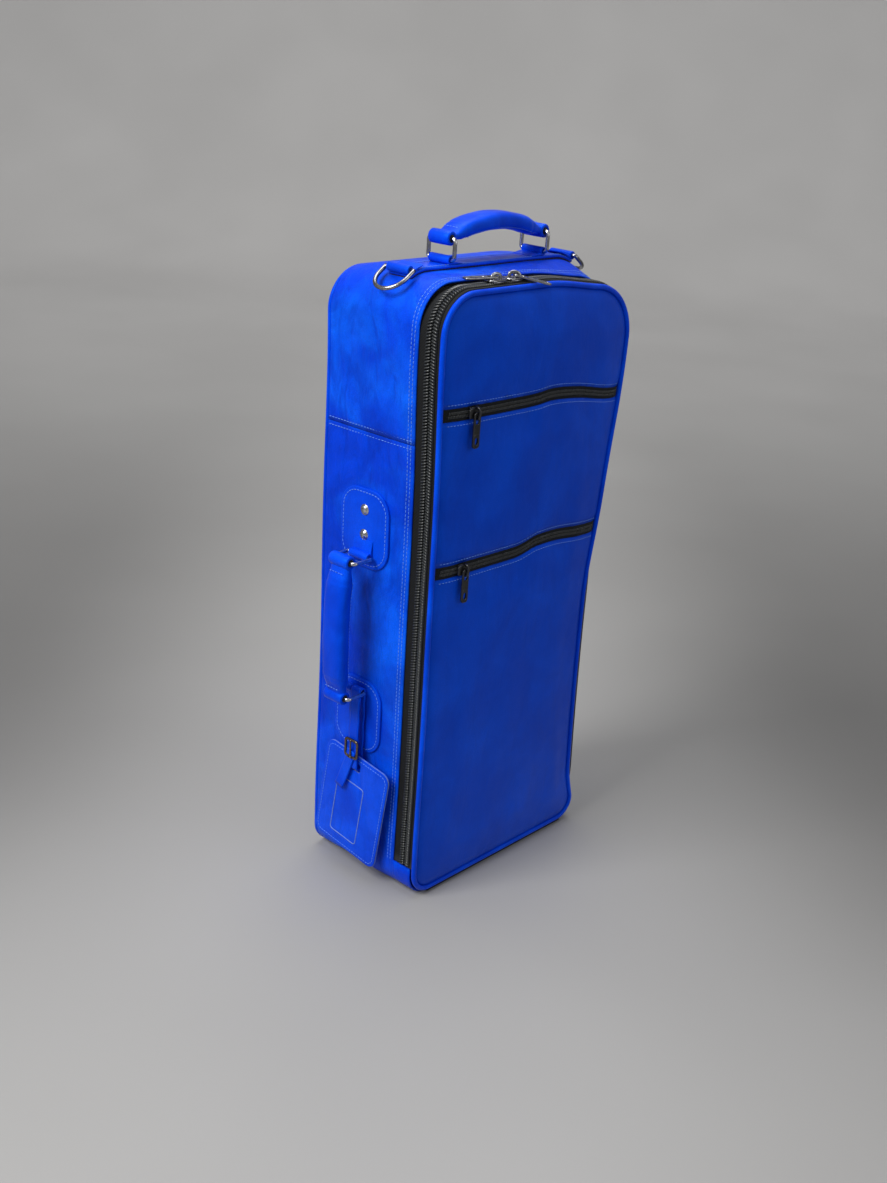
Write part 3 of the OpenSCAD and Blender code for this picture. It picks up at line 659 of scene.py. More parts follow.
def wall(name, z=None, x=None):
    ys = np.linspace(GUSSET_Y + 3, BACK_Y - 5.5, 38)
    hem = [(2.2, GUSSET_Y + 1.6), (1.2, GUSSET_Y + 0.4), (0.4, GUSSET_Y + 0.5), (0.0, GUSSET_Y + 1.6)]
    seam = [(0.4, BACK_Y - 4.9), (2.0, BACK_Y - 4.4)]
    obj = ring_band(name, hem + [(0.0, y) for y in ys] + seam, CASE_TOP, BLUE)
    keep_box(obj, x, z)
    add_wrinkles(obj, 62.0, 0.75, 21, (GUSSET_Y + 6, BACK_Y - 6))
    thicken(obj, 1.4)
    return obj


def body_shell():
    gap = 0.25
    top = wall("gusset_top_leather", z=(SEAM_Z + gap, 700))
    left = wall("gusset_left_leather", z=(-5, SEAM_Z - gap), x=(-400, -BASE_HALF))
    right = wall("gusset_right_leather", z=(-5, SEAM_Z - gap), x=(BASE_HALF, 400))
    place(top, "case", ["gusset_top"])
    place(left, "case", ["gusset_left"])
    place(right, "case", ["gusset_right"])
    ends = []
    for side, xs in (("l", (-400, -BASE_HALF)), ("r", (BASE_HALF, 400))):
        front = PIPING_Y + PIPING_R + 0.8
        profile = [(2.0, front + 0.6), (0.8, front), (0.1, front + 0.8)]
        profile += [(0.0, y) for y in np.linspace(front + 2, GUSSET_Y + 1.5, 10)]
        end = keep_box(ring_band("end_" + side, profile, CASE_TOP, BLUE), xs, (-5, ZIP_END - 0.4))
        ends.append(thicken(end, 1.6))
    place(join("zip_end_corners_leather", ends), "case", ["zip_end_corners"])
    paths, outs = [], []
    for dy in (4.2, 7.6):
        p, o = rail(-0.05, GUSSET_Y + dy, CASE_TOP)
        p, o = above(p, o, 24)
        paths.append(warp(p))
        outs.append(o)
    rows = stitches("gusset_stitching", paths, outs, THREAD)
    place(rows, "case")
    seams = []
    seam_outs = []
    for side in (-1, 1):
        for dz in (-3.4, 3.4):
            y = np.linspace(GUSSET_Y + 3, BACK_Y - 6, 60)
            z = np.full_like(y, SEAM_Z + dz)
            p = np.stack([side * (half_w(z, side) + 0.05), y, z], 1)
            seams.append(warp(p))
            seam_outs.append(np.array([side, 0, 0.0]))
    place(stitches("seam_stitching", seams, seam_outs, THREAD), "case")


def round_profile(inset, y, r, sides=12):
    a = np.linspace(0, 2 * math.pi, sides, endpoint=False)
    return [(inset + r * math.cos(t), y + r * math.sin(t)) for t in a]


def piping():
    lid_cord = ring_band(
        "lid_piping_cord", round_profile(PIPING_R, PIPING_Y, PIPING_R), LID_TOP, TRIM_BLUE,
        base=LID_LOW, closed=True,
    )
    place(lid_cord, "lid", ["lid_piping"])
    back_cord = ring_band(
        "back_piping_cord", round_profile(PIPING_R, BACK_Y - PIPING_R, PIPING_R), CASE_TOP, TRIM_BLUE,
        closed=True,
    )
    place(back_cord, "case", ["back_piping"])


# ------------------------------------------------------------ padded panels

def spokes(inset, top, base, y_of, rings=26):
    """A closed panel inside the outline: rings from its edge to a middle line, as points and faces."""
    edge = outline(inset, top, base)
    z = np.clip(edge[:, 1], base + 118, top - 118)
    mid = np.stack([(half_w(z, 1) - half_w(z, -1)) / 2, z], 1)
    t = np.linspace(0, 1, rings) ** 1.25
    pts = edge[None] * (1 - t[:, None, None]) + mid[None] * t[:, None, None]
    flat = pts.reshape(-1, 2)
    n = len(edge)
    reach = np.linalg.norm(edge - mid, axis=1)
    depth = (t[:, None] * reach[None]).ravel()
    y = y_of(flat[:, 0], flat[:, 1], depth)
    return np.stack([flat[:, 0], y, flat[:, 1]], 1), grid_faces(rings, n, False, True)


def slider_run(x):
    """1 along the stretch of front that a pocket slider runs over, falling to 0 beside it."""
    return smooth(-116, -100, x) * smooth(2, -18, x)


def front_y(x, z, depth):
    """Depth of the padded front: a roll at the piping, a slow crown and soft dents."""
    p = np.stack([x, np.zeros_like(x), z], 1)
    roll = 1 - np.exp(-depth / 5.0)
    crown = 6.6 * np.clip(1 - (x / 121) ** 2, 0, 1) ** 1.15
    ends = smooth(0, 46, depth)
    dents = 1.1 * ripple(p, 150, 5) + 0.8 * ripple(p * [1.6, 1, 0.4], 90, 12)
    pull = sum(1.3 * np.exp(-(((z - k) / 17) ** 2)) for k in (UPPER_ZIP, LOWER_ZIP))
    at_slider = slider_run(x) * sum(np.exp(-(((z - k + 8) / 26) ** 4)) for k in (UPPER_ZIP, LOWER_ZIP))
    lift = (crown * (0.35 + 0.65 * ends) + dents * ends - pull * ends * (crown / 6.6)) * roll
    flat = (1.9 + RUN_SLOPE * (x + 88)) * roll
    lift += (flat - lift) * np.clip(at_slider, 0, 1)
    return FRONT_Y + 2.4 - 2.9 * roll - lift


def weld(obj, mm=0.05):
    bm = bmesh.new()
    bm.from_mesh(obj.data)
    bmesh.ops.remove_doubles(bm, verts=bm.verts, dist=mm * MM)
    bmesh.ops.recalc_face_normals(bm, faces=bm.faces)
    bm.to_mesh(obj.data)
    bm.free()
    return obj


def lid_front():
    bounds = {
        "top": (UPPER_ZIP + POCKET_GAP, 700),
        "middle": (LOWER_ZIP + POCKET_GAP, UPPER_ZIP - POCKET_GAP),
        "bottom": (-5, LOWER_ZIP - POCKET_GAP),
    }
    for name, (z0, z1) in bounds.items():
        verts, faces = spokes(4.3, LID_TOP, LID_LOW, front_y)
        obj = weld(make(f"lid_{name}_leather", verts, faces, FRONT_BLUE), 0.4)
        for z, way in ((z0, -1), (z1, 1)):
            cut(obj, (0, 0, z), (0, 0, way))
        roll_edges(obj, [z for z in (z0, z1) if 0 < z < 600])
        bend(obj)
        thicken(obj, 1.5)
        place(obj, "lid", [f"lid_panel_{name}"])
    rows, outs = [], []
    for zip_z in (UPPER_ZIP, LOWER_ZIP):
        for z in (zip_z + POCKET_GAP + 3.2, zip_z - POCKET_GAP - 3.2):
            x = np.linspace(-half_w(z, -1) + 9, half_w(z, 1) - 9, 90)
            edge = np.minimum(x + half_w(z, -1), half_w(z, 1) - x) - 4.3
            p = np.stack([x, front_y(x, np.full_like(x, z), edge) - 0.12, np.full_like(x, z)], 1)
            rows.append(warp(p))
            outs.append(np.array([0, -1.0, 0]))
    place(stitches("pocket_stitching", rows, outs, THREAD, pitch=3.4, length=2.5, r=0.32), "lid")


def roll_edges(obj, heights):
    """Turns a panel's cut edge inward, as a folded hem."""
    mesh = obj.data
    co = np.zeros(len(mesh.vertices) * 3)
    mesh.vertices.foreach_get("co", co)
    co = co.reshape(-1, 3)
    for z in heights:
        d = np.abs(co[:, 2] / MM - z)
        co[:, 1] += np.where(d < 1.6, (1 - d / 1.6) ** 2 * 1.0, 0) * MM
    mesh.vertices.foreach_set("co", co.ravel())
    mesh.update()


def back_panel():
    def y_of(x, z, depth):
        p = np.stack([x, np.full_like(x, 99.0), z], 1)
        return BACK_Y - 1.2 + 1.0 * smooth(0, 30, depth) + 0.5 * ripple(p, 140, 8) * smooth(0, 60, depth)

    verts, faces = spokes(4.3, CASE_TOP, 0.0, y_of)
    obj = weld(make("back_panel_leather", verts, faces, BLUE), 0.4)
    bm_flip(obj, 1)
    bend(obj)
    thicken(obj, 1.5)
    place(obj, "case", ["back_panel"])


def bm_flip(obj, way):
    """Makes a panel's faces look along +Y (way 1) or -Y (way -1)."""
    mesh = obj.data
    total = sum(p.normal.y * p.area for p in mesh.polygons)
    if total * way < 0:
        mesh.flip_normals()


# ------------------------------------------------------------ zips

TOOTH_STATIONS = ((0.0, 0.55), (0.12, 0.95), (0.8, 1.0), (0.95, 0.85), (1.0, 0.45))


def teeth(name, path, out, across, length, pitch, width, height, mat, slant=0.25, start=0.0):
    """A row of moulded teeth: each lies across a path and leans along it."""
    p, t = resample(path, pitch)
    o, _ = resample_values(path, out, len(p), False)
    p = p + t * start * pitch
    c = np.tile(np.asarray(across, float), (len(p), 1)) if np.ndim(across) == 1 else across
    ring = [(-0.5, 0.0), (-0.36, 0.8), (0, 1.0), (0.36, 0.8), (0.5, 0.0), (0, -0.2)]
    unit = np.array([[s, a * g, b * g] for s, g in TOOTH_STATIONS for a, b in ring])
    faces = grid_faces(len(TOOTH_STATIONS), len(ring), False, True).tolist()
    faces.append(list(range(len(ring)))[::-1])
    faces.append([(len(TOOTH_STATIONS) - 1) * len(ring) + i for i in range(len(ring))])
    v = (
        p[:, None]
        + c[:, None] * (unit[:, 0] * length)[None, :, None]
        + t[:, None] * (unit[:, 1] * width + unit[:, 0] * length * slant)[None, :, None]
        + o[:, None] * (unit[:, 2] * height)[None, :, None]
    )
    every = [[i + k * len(unit) for i in f] for k in range(len(p)) for f in faces]
    return make(name, v.reshape(-1, 3), every, mat)


def main_zip():
    pitch, height = 2.6, 1.9
    tape_inset = 2.0
    for side, body, nodes in ((-1, "lid", ("lid_zip_tape", "lid_zip_coil")),
                              (1, "case", ("body_zip_tape", "body_zip_coil"))):
        outer_y = PIPING_Y + PIPING_R - 1.2 if side < 0 else GUSSET_Y + 4
        inner_y = PART_Y + side * 0.5
        ys = np.linspace(outer_y, inner_y, 8)
        tape = ring_band(f"{body}_zip_tape_cloth", [(tape_inset, y) for y in ys], CHAIN_TOP, TAPE)
        keep_box(tape, z=(ZIP_END - 0.5, 700))
        thicken(tape, 0.7, offset=0.0)
        place(tape, body, [nodes[0]])
        p, o = rail(tape_inset - 0.3, PART_Y + side * 0.35, CHAIN_TOP)
        p, o = above(p, o, ZIP_END)
        row = teeth(
            f"{body}_zip_teeth", p, o, (0, side * 1.0, 0), 5.4, pitch, 1.9, height, COIL,
            slant=0.28, start=0.25 * side,
        )
        bend(row)
        place(row, body, [nodes[1]])
        cord, co = rail(tape_inset - 0.6, PART_Y + side * 5.9, CHAIN_TOP)
        cord, _ = above(cord, co, ZIP_END)
        welt = tube(f"{body}_zip_welt", warp(cord), 0.55, TAPE, sides=8)
        place(welt, body)


def pocket_zips():
    for part, zip_z in (("upper", UPPER_ZIP), ("lower", LOWER_ZIP)):
        x = np.linspace(-half_w(zip_z, -1) + 4.6, half_w(zip_z, 1) - 4.6, 80)
        edge = np.minimum(x + half_w(zip_z, -1), half_w(zip_z, 1) - x) - 4.3
        y = front_y(x, np.full_like(x, zip_z), edge) + 1.2
        zs = np.linspace(-POCKET_GAP - 2.5, POCKET_GAP + 2.5, 7)
        verts = np.concatenate([np.stack([x, y + 0.35 * abs(k) / 6, np.full_like(x, zip_z + k)], 1) for k in zs])
        tape = make(f"pocket_{part}_tape", verts, grid_faces(len(zs), len(x)), TAPE)
        bend(tape)
        thicken(tape, 0.6, offset=0.0)
        out = np.tile([0, -1.0, 0], (len(x), 1))
        rows = []
        for side in (-1, 1):
            line = np.stack([x, y - 0.1, np.full_like(x, zip_z + side * 0.2)], 1)[2:-2]
            rows.append(teeth(
                f"row{side}", line, out[2:-2], (0, 0, side * 1.0), 2.7, 1.6, 1.2, 0.85, COIL,
                slant=0.3, start=0.25 * side,
            ))
        row = bend(join(f"pocket_{part}_teeth", rows))
        place(tape, "lid")
        place(row, "lid", [f"pocket_zip_{part}"])


# ------------------------------------------------------------ sliders and pulls

def slot_loop(x0, x1, w, n=8):
    a = np.radians(np.linspace(-90, 90, n))
    right = np.stack([x1 - w / 2 + w / 2 * np.cos(a), w / 2 * np.sin(a)], 1)
    left = np.stack([x0 + w / 2 - w / 2 * np.cos(a), -w / 2 * np.sin(a)], 1)
    return np.concatenate([right, left])


def slider_mesh(name, length, width, turn, mat, at):
    """Shield-shaped cover plate with a bridge, made flat on XY with travel along X."""
    a = length / 2
    shape = np.array([
        (-a, -width * 0.3), (-a * 0.86, -width * 0.44), (-a * 0.5, -width / 2), (a * 0.35, -width / 2),
        (a * 0.82, -width * 0.42), (a, -width * 0.22), (a, width * 0.22), (a * 0.82, width * 0.42),
        (a * 0.35, width / 2), (-a * 0.5, width / 2), (-a * 0.86, width * 0.44), (-a, width * 0.3),
    ])
    base = plate(name + "_base", [shape], 2.0, 0.7, mat, at @ pose(0, 0, 1.0))
    t = np.linspace(0, math.pi, 15)
    bridge = np.stack([4.7 * np.cos(t), 0 * t, 1.2 + 4.9 * np.sin(t) ** 0.6], 1)
    arch = tube(name + "_bridge", bridge, 1.0, mat, sides=10, flat=(0.8, 1.5))
    arch.matrix_world = scaled_pose(at @ pose(0, 0, 0, rz=turn))
    skirts = []
    for y in (-width * 0.42, width * 0.42):
        line = [(-a * 0.8, y, -0.2), (0, y * 1.06, -0.2), (a * 0.7, y * 0.98, -0.2)]
        wing = tube(name + "_wing", line, 0.8, mat, sides=8)
        wing.matrix_world = scaled_pose(at)
        skirts.append(wing)
    return join(name, [base, arch, *skirts])


def scaled_pose(m):
    m = m.copy()
    m.translation = m.translation * MM
    return m


def pull_mesh(name, length, width, holes, mat, at, tip=None):
    """A pull along -X from its cross bar at the origin, with rails round the bridge."""
    outer = rounded_rect(length, width, width * 0.36)
    outer = outer - [length / 2 - 1.2, 0]
    eye = slot_loop(-9.2, -0.9, width * 0.52)
    loops = [outer, eye] + [slot_loop(-x1, -x0, w) for x0, x1, w in holes]
    body = plate(name + "_plate", loops, 1.7, 0.5, mat, at)
    parts = [body]
    if tip:
        edge = rounded_rect(tip, width * 0.99, width * 0.36) - [length - tip / 2 - 1.2, 0]
        pad = plate(name + "_pad", [edge, loops[2]], 2.3, 0.6, mat, at)
        parts.append(pad)
    return join(name, parts)


def axis_turn(joint):
    """Turn about Z of a pull's cross bar, from its hinge axis."""
    ax = JOINTS[joint]["axis"]
    return math.degrees(math.atan2(-ax[0], ax[1]))


def sliders():
    for side, pitch_down in (("left", 0), ("right", -12)):
        centre = (low(f"slider_{side}") + high(f"slider_{side}")) / 2
        seat = pivot(f"pull_{side}_flip")
        turn = axis_turn(f"pull_{side}_flip")
        at = pose(centre[0], PART_Y, seat[2] - 3.6)
        body = slider_mesh(f"slider_{side}_metal", 22, 12.6, turn, GUNMETAL, at)
        place(body, f"slider_{side}", [f"slider_{side}"])
        hang = pose(*seat) @ pose(0, 0, 0, rz=turn) @ pose(0, 0, 0, ry=pitch_down)
        pull = pull_mesh(f"pull_{side}_metal", 34, 9, [(12.5, 30.5, 3.8)], GUNMETAL, hang)
        place(pull, f"pull_{side}", [f"pull_{side}"])
    for part in ("upper", "lower"):
        seat = pivot(f"pocket_pull_{part}_flip")
        face = pose(*seat, rx=90)
        at = face @ pose(0, 0, -3.6)
        body = slider_mesh(f"pocket_slider_{part}_metal", 15, 9.5, 90, ENAMEL, at)
        place(body, f"pocket_slider_{part}", [f"pocket_slider_{part}"])
        hang = face @ pose(0, 0, 0, rz=90)
        pull = pull_mesh(f"pocket_pull_{part}_metal", 31, 8, [(20.5, 26.8, 3.8)], ENAMEL, hang, tip=12.5)
        place(pull, f"pocket_pull_{part}", [f"pocket_pull_{part}"])


# ------------------------------------------------------------ rings

CARD_X = 4.0
WIRE_R = 1.85
RING_HALF = (26 + 3.7) / 2


def ring_path(reach, half, r=2.8, n=7):
    loop = rounded_rect(reach, half * 2, r, n) + [reach / 2, 0]
    dense = []
    for a, b in zip(loop, np.roll(loop, -1, 0)):
        steps = max(1, int(np.linalg.norm(b - a) / 2))
        dense += [a + (b - a) * k / steps for k in range(steps)]
    return np.insert(np.array(dense), 2, 0.0, axis=1)


def d_path(half, reach):
    a = np.radians(np.linspace(-90, 90, 24))
    bow = np.stack([reach - half + half * np.cos(a), half * np.sin(a)], 1)
    bar = np.stack([np.zeros(14), np.linspace(half, -half, 14)], 1)
    side1 = np.stack([np.linspace(0, reach - half, 6)[1:-1], np.full(4, -half)], 1)
    side2 = np.stack([np.linspace(reach - half, 0, 6)[1:-1], np.full(4, half)], 1)
    return np.insert(np.concatenate([side1, bow, side2, bar]), 2, 0.0, axis=1)


def moved(path, m):
    return np.array([tuple(m @ Vector(p)) for p in path])


def rings():
    top_h = pivot("top_grip_pivot")[2] - pivot("top_handle_swing")[2]
    side_h = pivot("side_handle_swing")[0] - pivot("side_grip_pivot")[0]
    jobs = (
        ("top_ring_left", "top_handle_swing", top_h, -90, 0),
        ("top_ring_right", "top_ring_right_swing", top_h, -90, 0),
        ("side_ring_upper", "side_handle_swing", side_h, 0, 180),
        ("side_ring_lower", "side_ring_lower_swing", side_h, 0, 180),
    )
    for node, joint, reach, ry, rz in jobs:
        m = pose(*pivot(joint), ry=ry, rz=rz)
        ring = tube(node + "_wire", moved(ring_path(reach, RING_HALF), m), WIRE_R, NICKEL, closed=True, sides=16)
        place(ring, node, [node])
    for side, rz in (("left", 180), ("right", 0)):
        m = pose(*pivot(f"dring_{side}_swing")) @ pose(0, 0, 0, rz=rz) @ pose(0, 0, 0, ry=35)
        ring = tube(f"dring_{side}_wire", moved(d_path(14 + WIRE_R, 25), m), WIRE_R, GUNMETAL, closed=True, sides=16)
        place(ring, f"dring_{side}", [f"dring_{side}"])


# ------------------------------------------------------------ handles

def grip_mesh(name, span, rise, mat, at):
    """Padded grip between two bars along Y, a span apart on X, arched towards +Z."""
    n, sides = 72, 28
    u = np.linspace(0, 1, n)
    x = (u - 0.5) * span
    arch = rise * (1 - (2 * u - 1) ** 2)
    ends = np.minimum(u, 1 - u) * span
    full = smooth(3, 17, ends)
    thick = (8.2 + 7.4 * full) / 2
    width = (22.4 + 3.6 * smooth(4, 20, ends)) / 2
    collar = smooth(13.5, 14.5, ends) * smooth(17.5, 15.5, ends)
    thick = thick - 0.5 * collar
    width = width - 0.4 * collar
    a = np.linspace(0, 2 * math.pi, sides, endpoint=False)
    c, s = np.cos(a), np.sin(a)
    power = 0.72
    cy = np.sign(c) * np.abs(c) ** power
    cz = np.sign(s) * np.abs(s) ** power
    verts = np.stack([
        np.repeat(x, sides),
        (width[:, None] * cy).ravel(),
        (arch[:, None] + thick[:, None] * cz).ravel(),
    ], 1)
    verts[:, 2] += 0.35 * ripple(verts, 26, 31) * np.repeat(full, sides)
    verts[:, 1] += 0.3 * ripple(verts, 22, 33) * np.repeat(full, sides)
    faces = grid_faces(n, sides, False, True).tolist()
    faces += [list(range(sides))[::-1], [(n - 1) * sides + i for i in range(sides)]]
    body = make(name, verts, faces, mat)
    fix_normals(body)
    body.data.transform(scaled_pose(at))
    modify(body, "SUBSURF", levels=1, render_levels=1)
    return body


def loop_mesh(name, r_out, r_in, width, mat, at, edge=1.0):
    """A leather loop round a bar along Y, hollow for the bar, with soft edges."""
    half = width / 2
    prof = [(r_in, -half + edge), (r_in + 0.3, -half + 0.2), ((r_in + r_out) / 2, -half), (r_out - 0.5, -half + 0.3),
            (r_out, -half + edge)]
    prof += [(r_out + 0.15 * math.cos(k), k * half / 2.2) for k in (-1, 0, 1)]
    prof += [(r, -h) for r, h in prof[:5][::-1]]
    a = np.linspace(0, 2 * math.pi, 36, endpoint=False)
    verts = [[r * math.cos(t), h, r * math.sin(t)] for r, h in prof for t in a]
    obj = make(name, moved(verts, at), grid_faces(len(prof), 36, True, True), mat)
    fix_normals(obj)
    return obj


def grips():
    top_a, top_b = pivot("top_grip_pivot"), pivot("top_ring_right_swing")
    side_a, side_b = pivot("side_grip_pivot"), pivot("side_ring_lower_swing")
    jobs = (
        ("top_grip", (top_a[0] + top_b[0]) / 2, top_a[1], top_a[2], top_b[0] - top_a[0], 11.5, 0),
        ("side_grip", side_a[0], side_a[1], (side_a[2] + side_b[2]) / 2, side_a[2] - side_b[2], 4.0, -90),
    )
    for node, x, y, z, span, rise, ry in jobs:
        at = pose(x, y, z, ry=ry)
        body = grip_mesh(node + "_leather", span - 5.5, rise, TRIM_BLUE, at)
        place(body, node, [node, node + "_core"])
        for k, end in enumerate((-span / 2, span / 2)):
            loop = loop_mesh(f"{node}_loop_{k}", 6.0, 3.1, 23.2, TRIM_BLUE, at @ pose(end, 0, 0.3))
            place(loop, node)
            place(loop_mesh(f"{node}_webbing_{k}", 3.1, 2.0, 24.2, WEBBING, at @ pose(end, 0, 0)), node)
        lines, outs = [], []
        xs = np.linspace(-span / 2 + 18, span / 2 - 18, 40)
        arch = rise * (1 - (2 * xs / (span - 5.5)) ** 2)
        for yy in (-11.2, 11.2):
            lines.append(moved(np.stack([xs, np.full_like(xs, yy), arch - 5.1], 1), at))
            outs.append(np.array(at.to_3x3() @ Vector((0, 0.35 * math.copysign(1, yy), -1.0))))
        for end in (-1, 1):
            ys = np.linspace(-8.5, 8.5, 12)
            e = end * (span / 2 - 9.5)
            lift = rise * (1 - (2 * e / (span - 5.5)) ** 2) + 5.9
            lines.append(moved(np.stack([np.full_like(ys, e), ys, np.full_like(ys, lift)], 1), at))
            outs.append(np.array(at.to_3x3() @ Vector((0, 0, 1.0))))
        place(stitches(f"{node}_stitching", lines, outs, THREAD, pitch=3.2, length=2.3, r=0.32), node)


def strap_path(lift, x0, x1):
    """Line over the top of the case at mid-depth, a lift above the leather, between two x."""
    p, o = rail(-lift, 0.0, CASE_TOP)
    keep = (p[:, 0] > x0) & (p[:, 0] < x1) & (p[:, 2] > CASE_TOP - 60)
    return p[keep], o[keep]


def strip(name, path, out, width, thick, mat, crown=0.0, across=(0, 1, 0), cols=9):
    """A flat strap along a path."""
    c = np.asarray(across, float)
    v = np.linspace(-1, 1, cols)
    verts = np.concatenate([
        path + c * (k * width / 2) + out * (crown * (1 - k * k) - 0.25 * (abs(k) > 0.95)) for k in v
    ])
    obj = make(name, verts, grid_faces(cols, len(path)), mat)
    bm_outward(obj, out.mean(0))
    thicken(obj, thick)
    return obj


def bm_outward(obj, direction):
    d = Vector(direction)
    total = sum(p.normal.dot(d) * p.area for p in obj.data.polygons)
    if total < 0:
        obj.data.flip_normals()


def top_strap():
    left, right = low("top_strap")[0], high("top_strap")[0]
    p, o = strap_path(3.4, left - 3, right + 3)
    strap = strip("top_strap_leather", p, o, 26.0, 1.9, TRIM_BLUE, crown=0.25)
    place(strap, "case", ["top_strap"])
    # The black webbing under the strap, seen at its edges, is partly painted shade: it stands in for the shadowed gap
    # under the strap's edge.
    p2, o2 = strap_path(1.3, left - 1, right + 1)
    web = strip("top_webbing_and_edge_shade", p2, o2, 24.5, 1.4, WEBBING)
    place(web, "case", ["top_webbing"])
    rows = [p + [0, y, 0] + o * 0.3 for y in (-10.6, 10.6)]
    place(stitches("strap_stitching", rows, [o, o], THREAD), "case")
    loops = []
    for joint, turn in (("top_handle_swing", 0), ("top_ring_right_swing", 180)):
        m = pose(*pivot(joint)) @ pose(0, 0, 0, rz=turn)
        loops.append(chape(f"top_chape_{turn}", m, 23.0, 15))
    place(join("top_chapes_leather", loops), "case", ["top_chapes"])
    loops = []
    for side, rz in (("left", 180), ("right", 0)):
        m = pose(*pivot(f"dring_{side}_swing")) @ pose(0, 0, 0, rz=rz) @ pose(0, 0, 0, ry=27) @ pose(0, 0, 0, rz=180)
        loops.append(chape(f"dring_chape_{side}", m, 25.0, 15))
    place(join("dring_chapes_leather", loops), "case", ["dring_chapes"])


def chape(name, at, width, tab):
    """A leather loop round a bar along Y at the origin, its tab running to +X below the bar."""
    r_in, r_out = 1.95, 3.8
    ring_out = [(tab, -r_out + 0.5), (tab * 0.5, -r_out + 1.9), (r_out + 1.2, -r_out + 2.2)] + [
        (r_out * math.cos(t), r_out * math.sin(t)) for t in np.radians(np.linspace(-22, 270, 30))
    ] + [(tab, -r_out)]
    hole = [(r_in * math.cos(t), r_in * math.sin(t)) for t in np.radians(np.linspace(0, 345, 24))]
    turn = at @ pose(0, 0, 0, rx=90)
    return plate(name, [ring_out, hole], width, 0.5, TRIM_BLUE, turn)


# ------------------------------------------------------------ side patches and chapes

def wall_x(y, z):
    p = warp(np.array([[-half_w(z, -1), y, z]]))
    return p[0, 0]


def patch_points(loop, y0, z0, lift):
    return np.array([(wall_x(y0 + a, z0 + b) - lift, y0 + a, z0 + b) for a, b in loop])


def patches():
    y0 = pivot("side_handle_swing")[1]
    for node in ("handle_patch_upper", "handle_patch_lower"):
        z0 = (low(node)[2] + high(node)[2]) / 2
        h = high(node)[2] - low(node)[2]
        w = high(node)[1] - low(node)[1]
        obj = plate(node + "_leather", [rounded_rect(w, h, 20, 12)], 2.2, 0.8, TRIM_BLUE)
        mesh = obj.data
        co = np.zeros(len(mesh.vertices) * 3)
        mesh.vertices.foreach_get("co", co)
        co = co.reshape(-1, 3) / MM
        new = np.array([(wall_x(y0 + a, z0 + b) - 1.1 - c, y0 + a, z0 + b) for a, b, c in co])
        mesh.vertices.foreach_set("co", (new * MM).ravel())
        fix_normals(obj)
        place(obj, "case", [node])
        loop = rounded_rect(w - 6.5, h - 6.5, 17, 12)
        line = patch_points(loop, y0, z0, 2.25)
        place(stitches(node + "_stitching", [line], [np.array([-1.0, 0, 0])], THREAD, closed=True), "case")
    heads = []
    for z in (low("patch_rivets")[2] + 4, high("patch_rivets")[2] - 4):
        at = pose(wall_x(y0, z) - 2.1, y0, z, ry=-90)
        prof = [(5.0, -0.2), (5.0, 0.3), (4.4, 0.7), (3.9, 0.6), (3.8, 1.0)]
        prof += [(3.2, 1.7), (2.0, 2.1), (0.8, 2.25), (0.05, 2.3)]
        heads.append(lathe(f"rivet_{int(z)}", prof, at, NICKEL))
    place(join("patch_rivet_heads", heads), "case", ["patch_rivets"])
    upper = pose(*pivot("side_handle_swing")) @ pose(0, 0, 0, ry=-90)
    place(chape("side_chape_upper_leather", upper, 23.0, 14), "case", ["side_chape_upper"])
    c = (low("side_chape_lower") + high("side_chape_lower")) / 2
    p = pivot("side_ring_lower_swing")
    lower = pose(p[0], c[1], p[2]) @ pose(0, 0, 0, ry=90) @ Matrix.Diagonal((1, 1, -1, 1))
    width = high("side_chape_lower")[1] - low("side_chape_lower")[1]
    obj = chape("side_chape_lower_leather", lower, width, 14)
    fix_normals(obj)
    place(obj, "case", ["side_chape_lower"])


# ------------------------------------------------------------ luggage tag

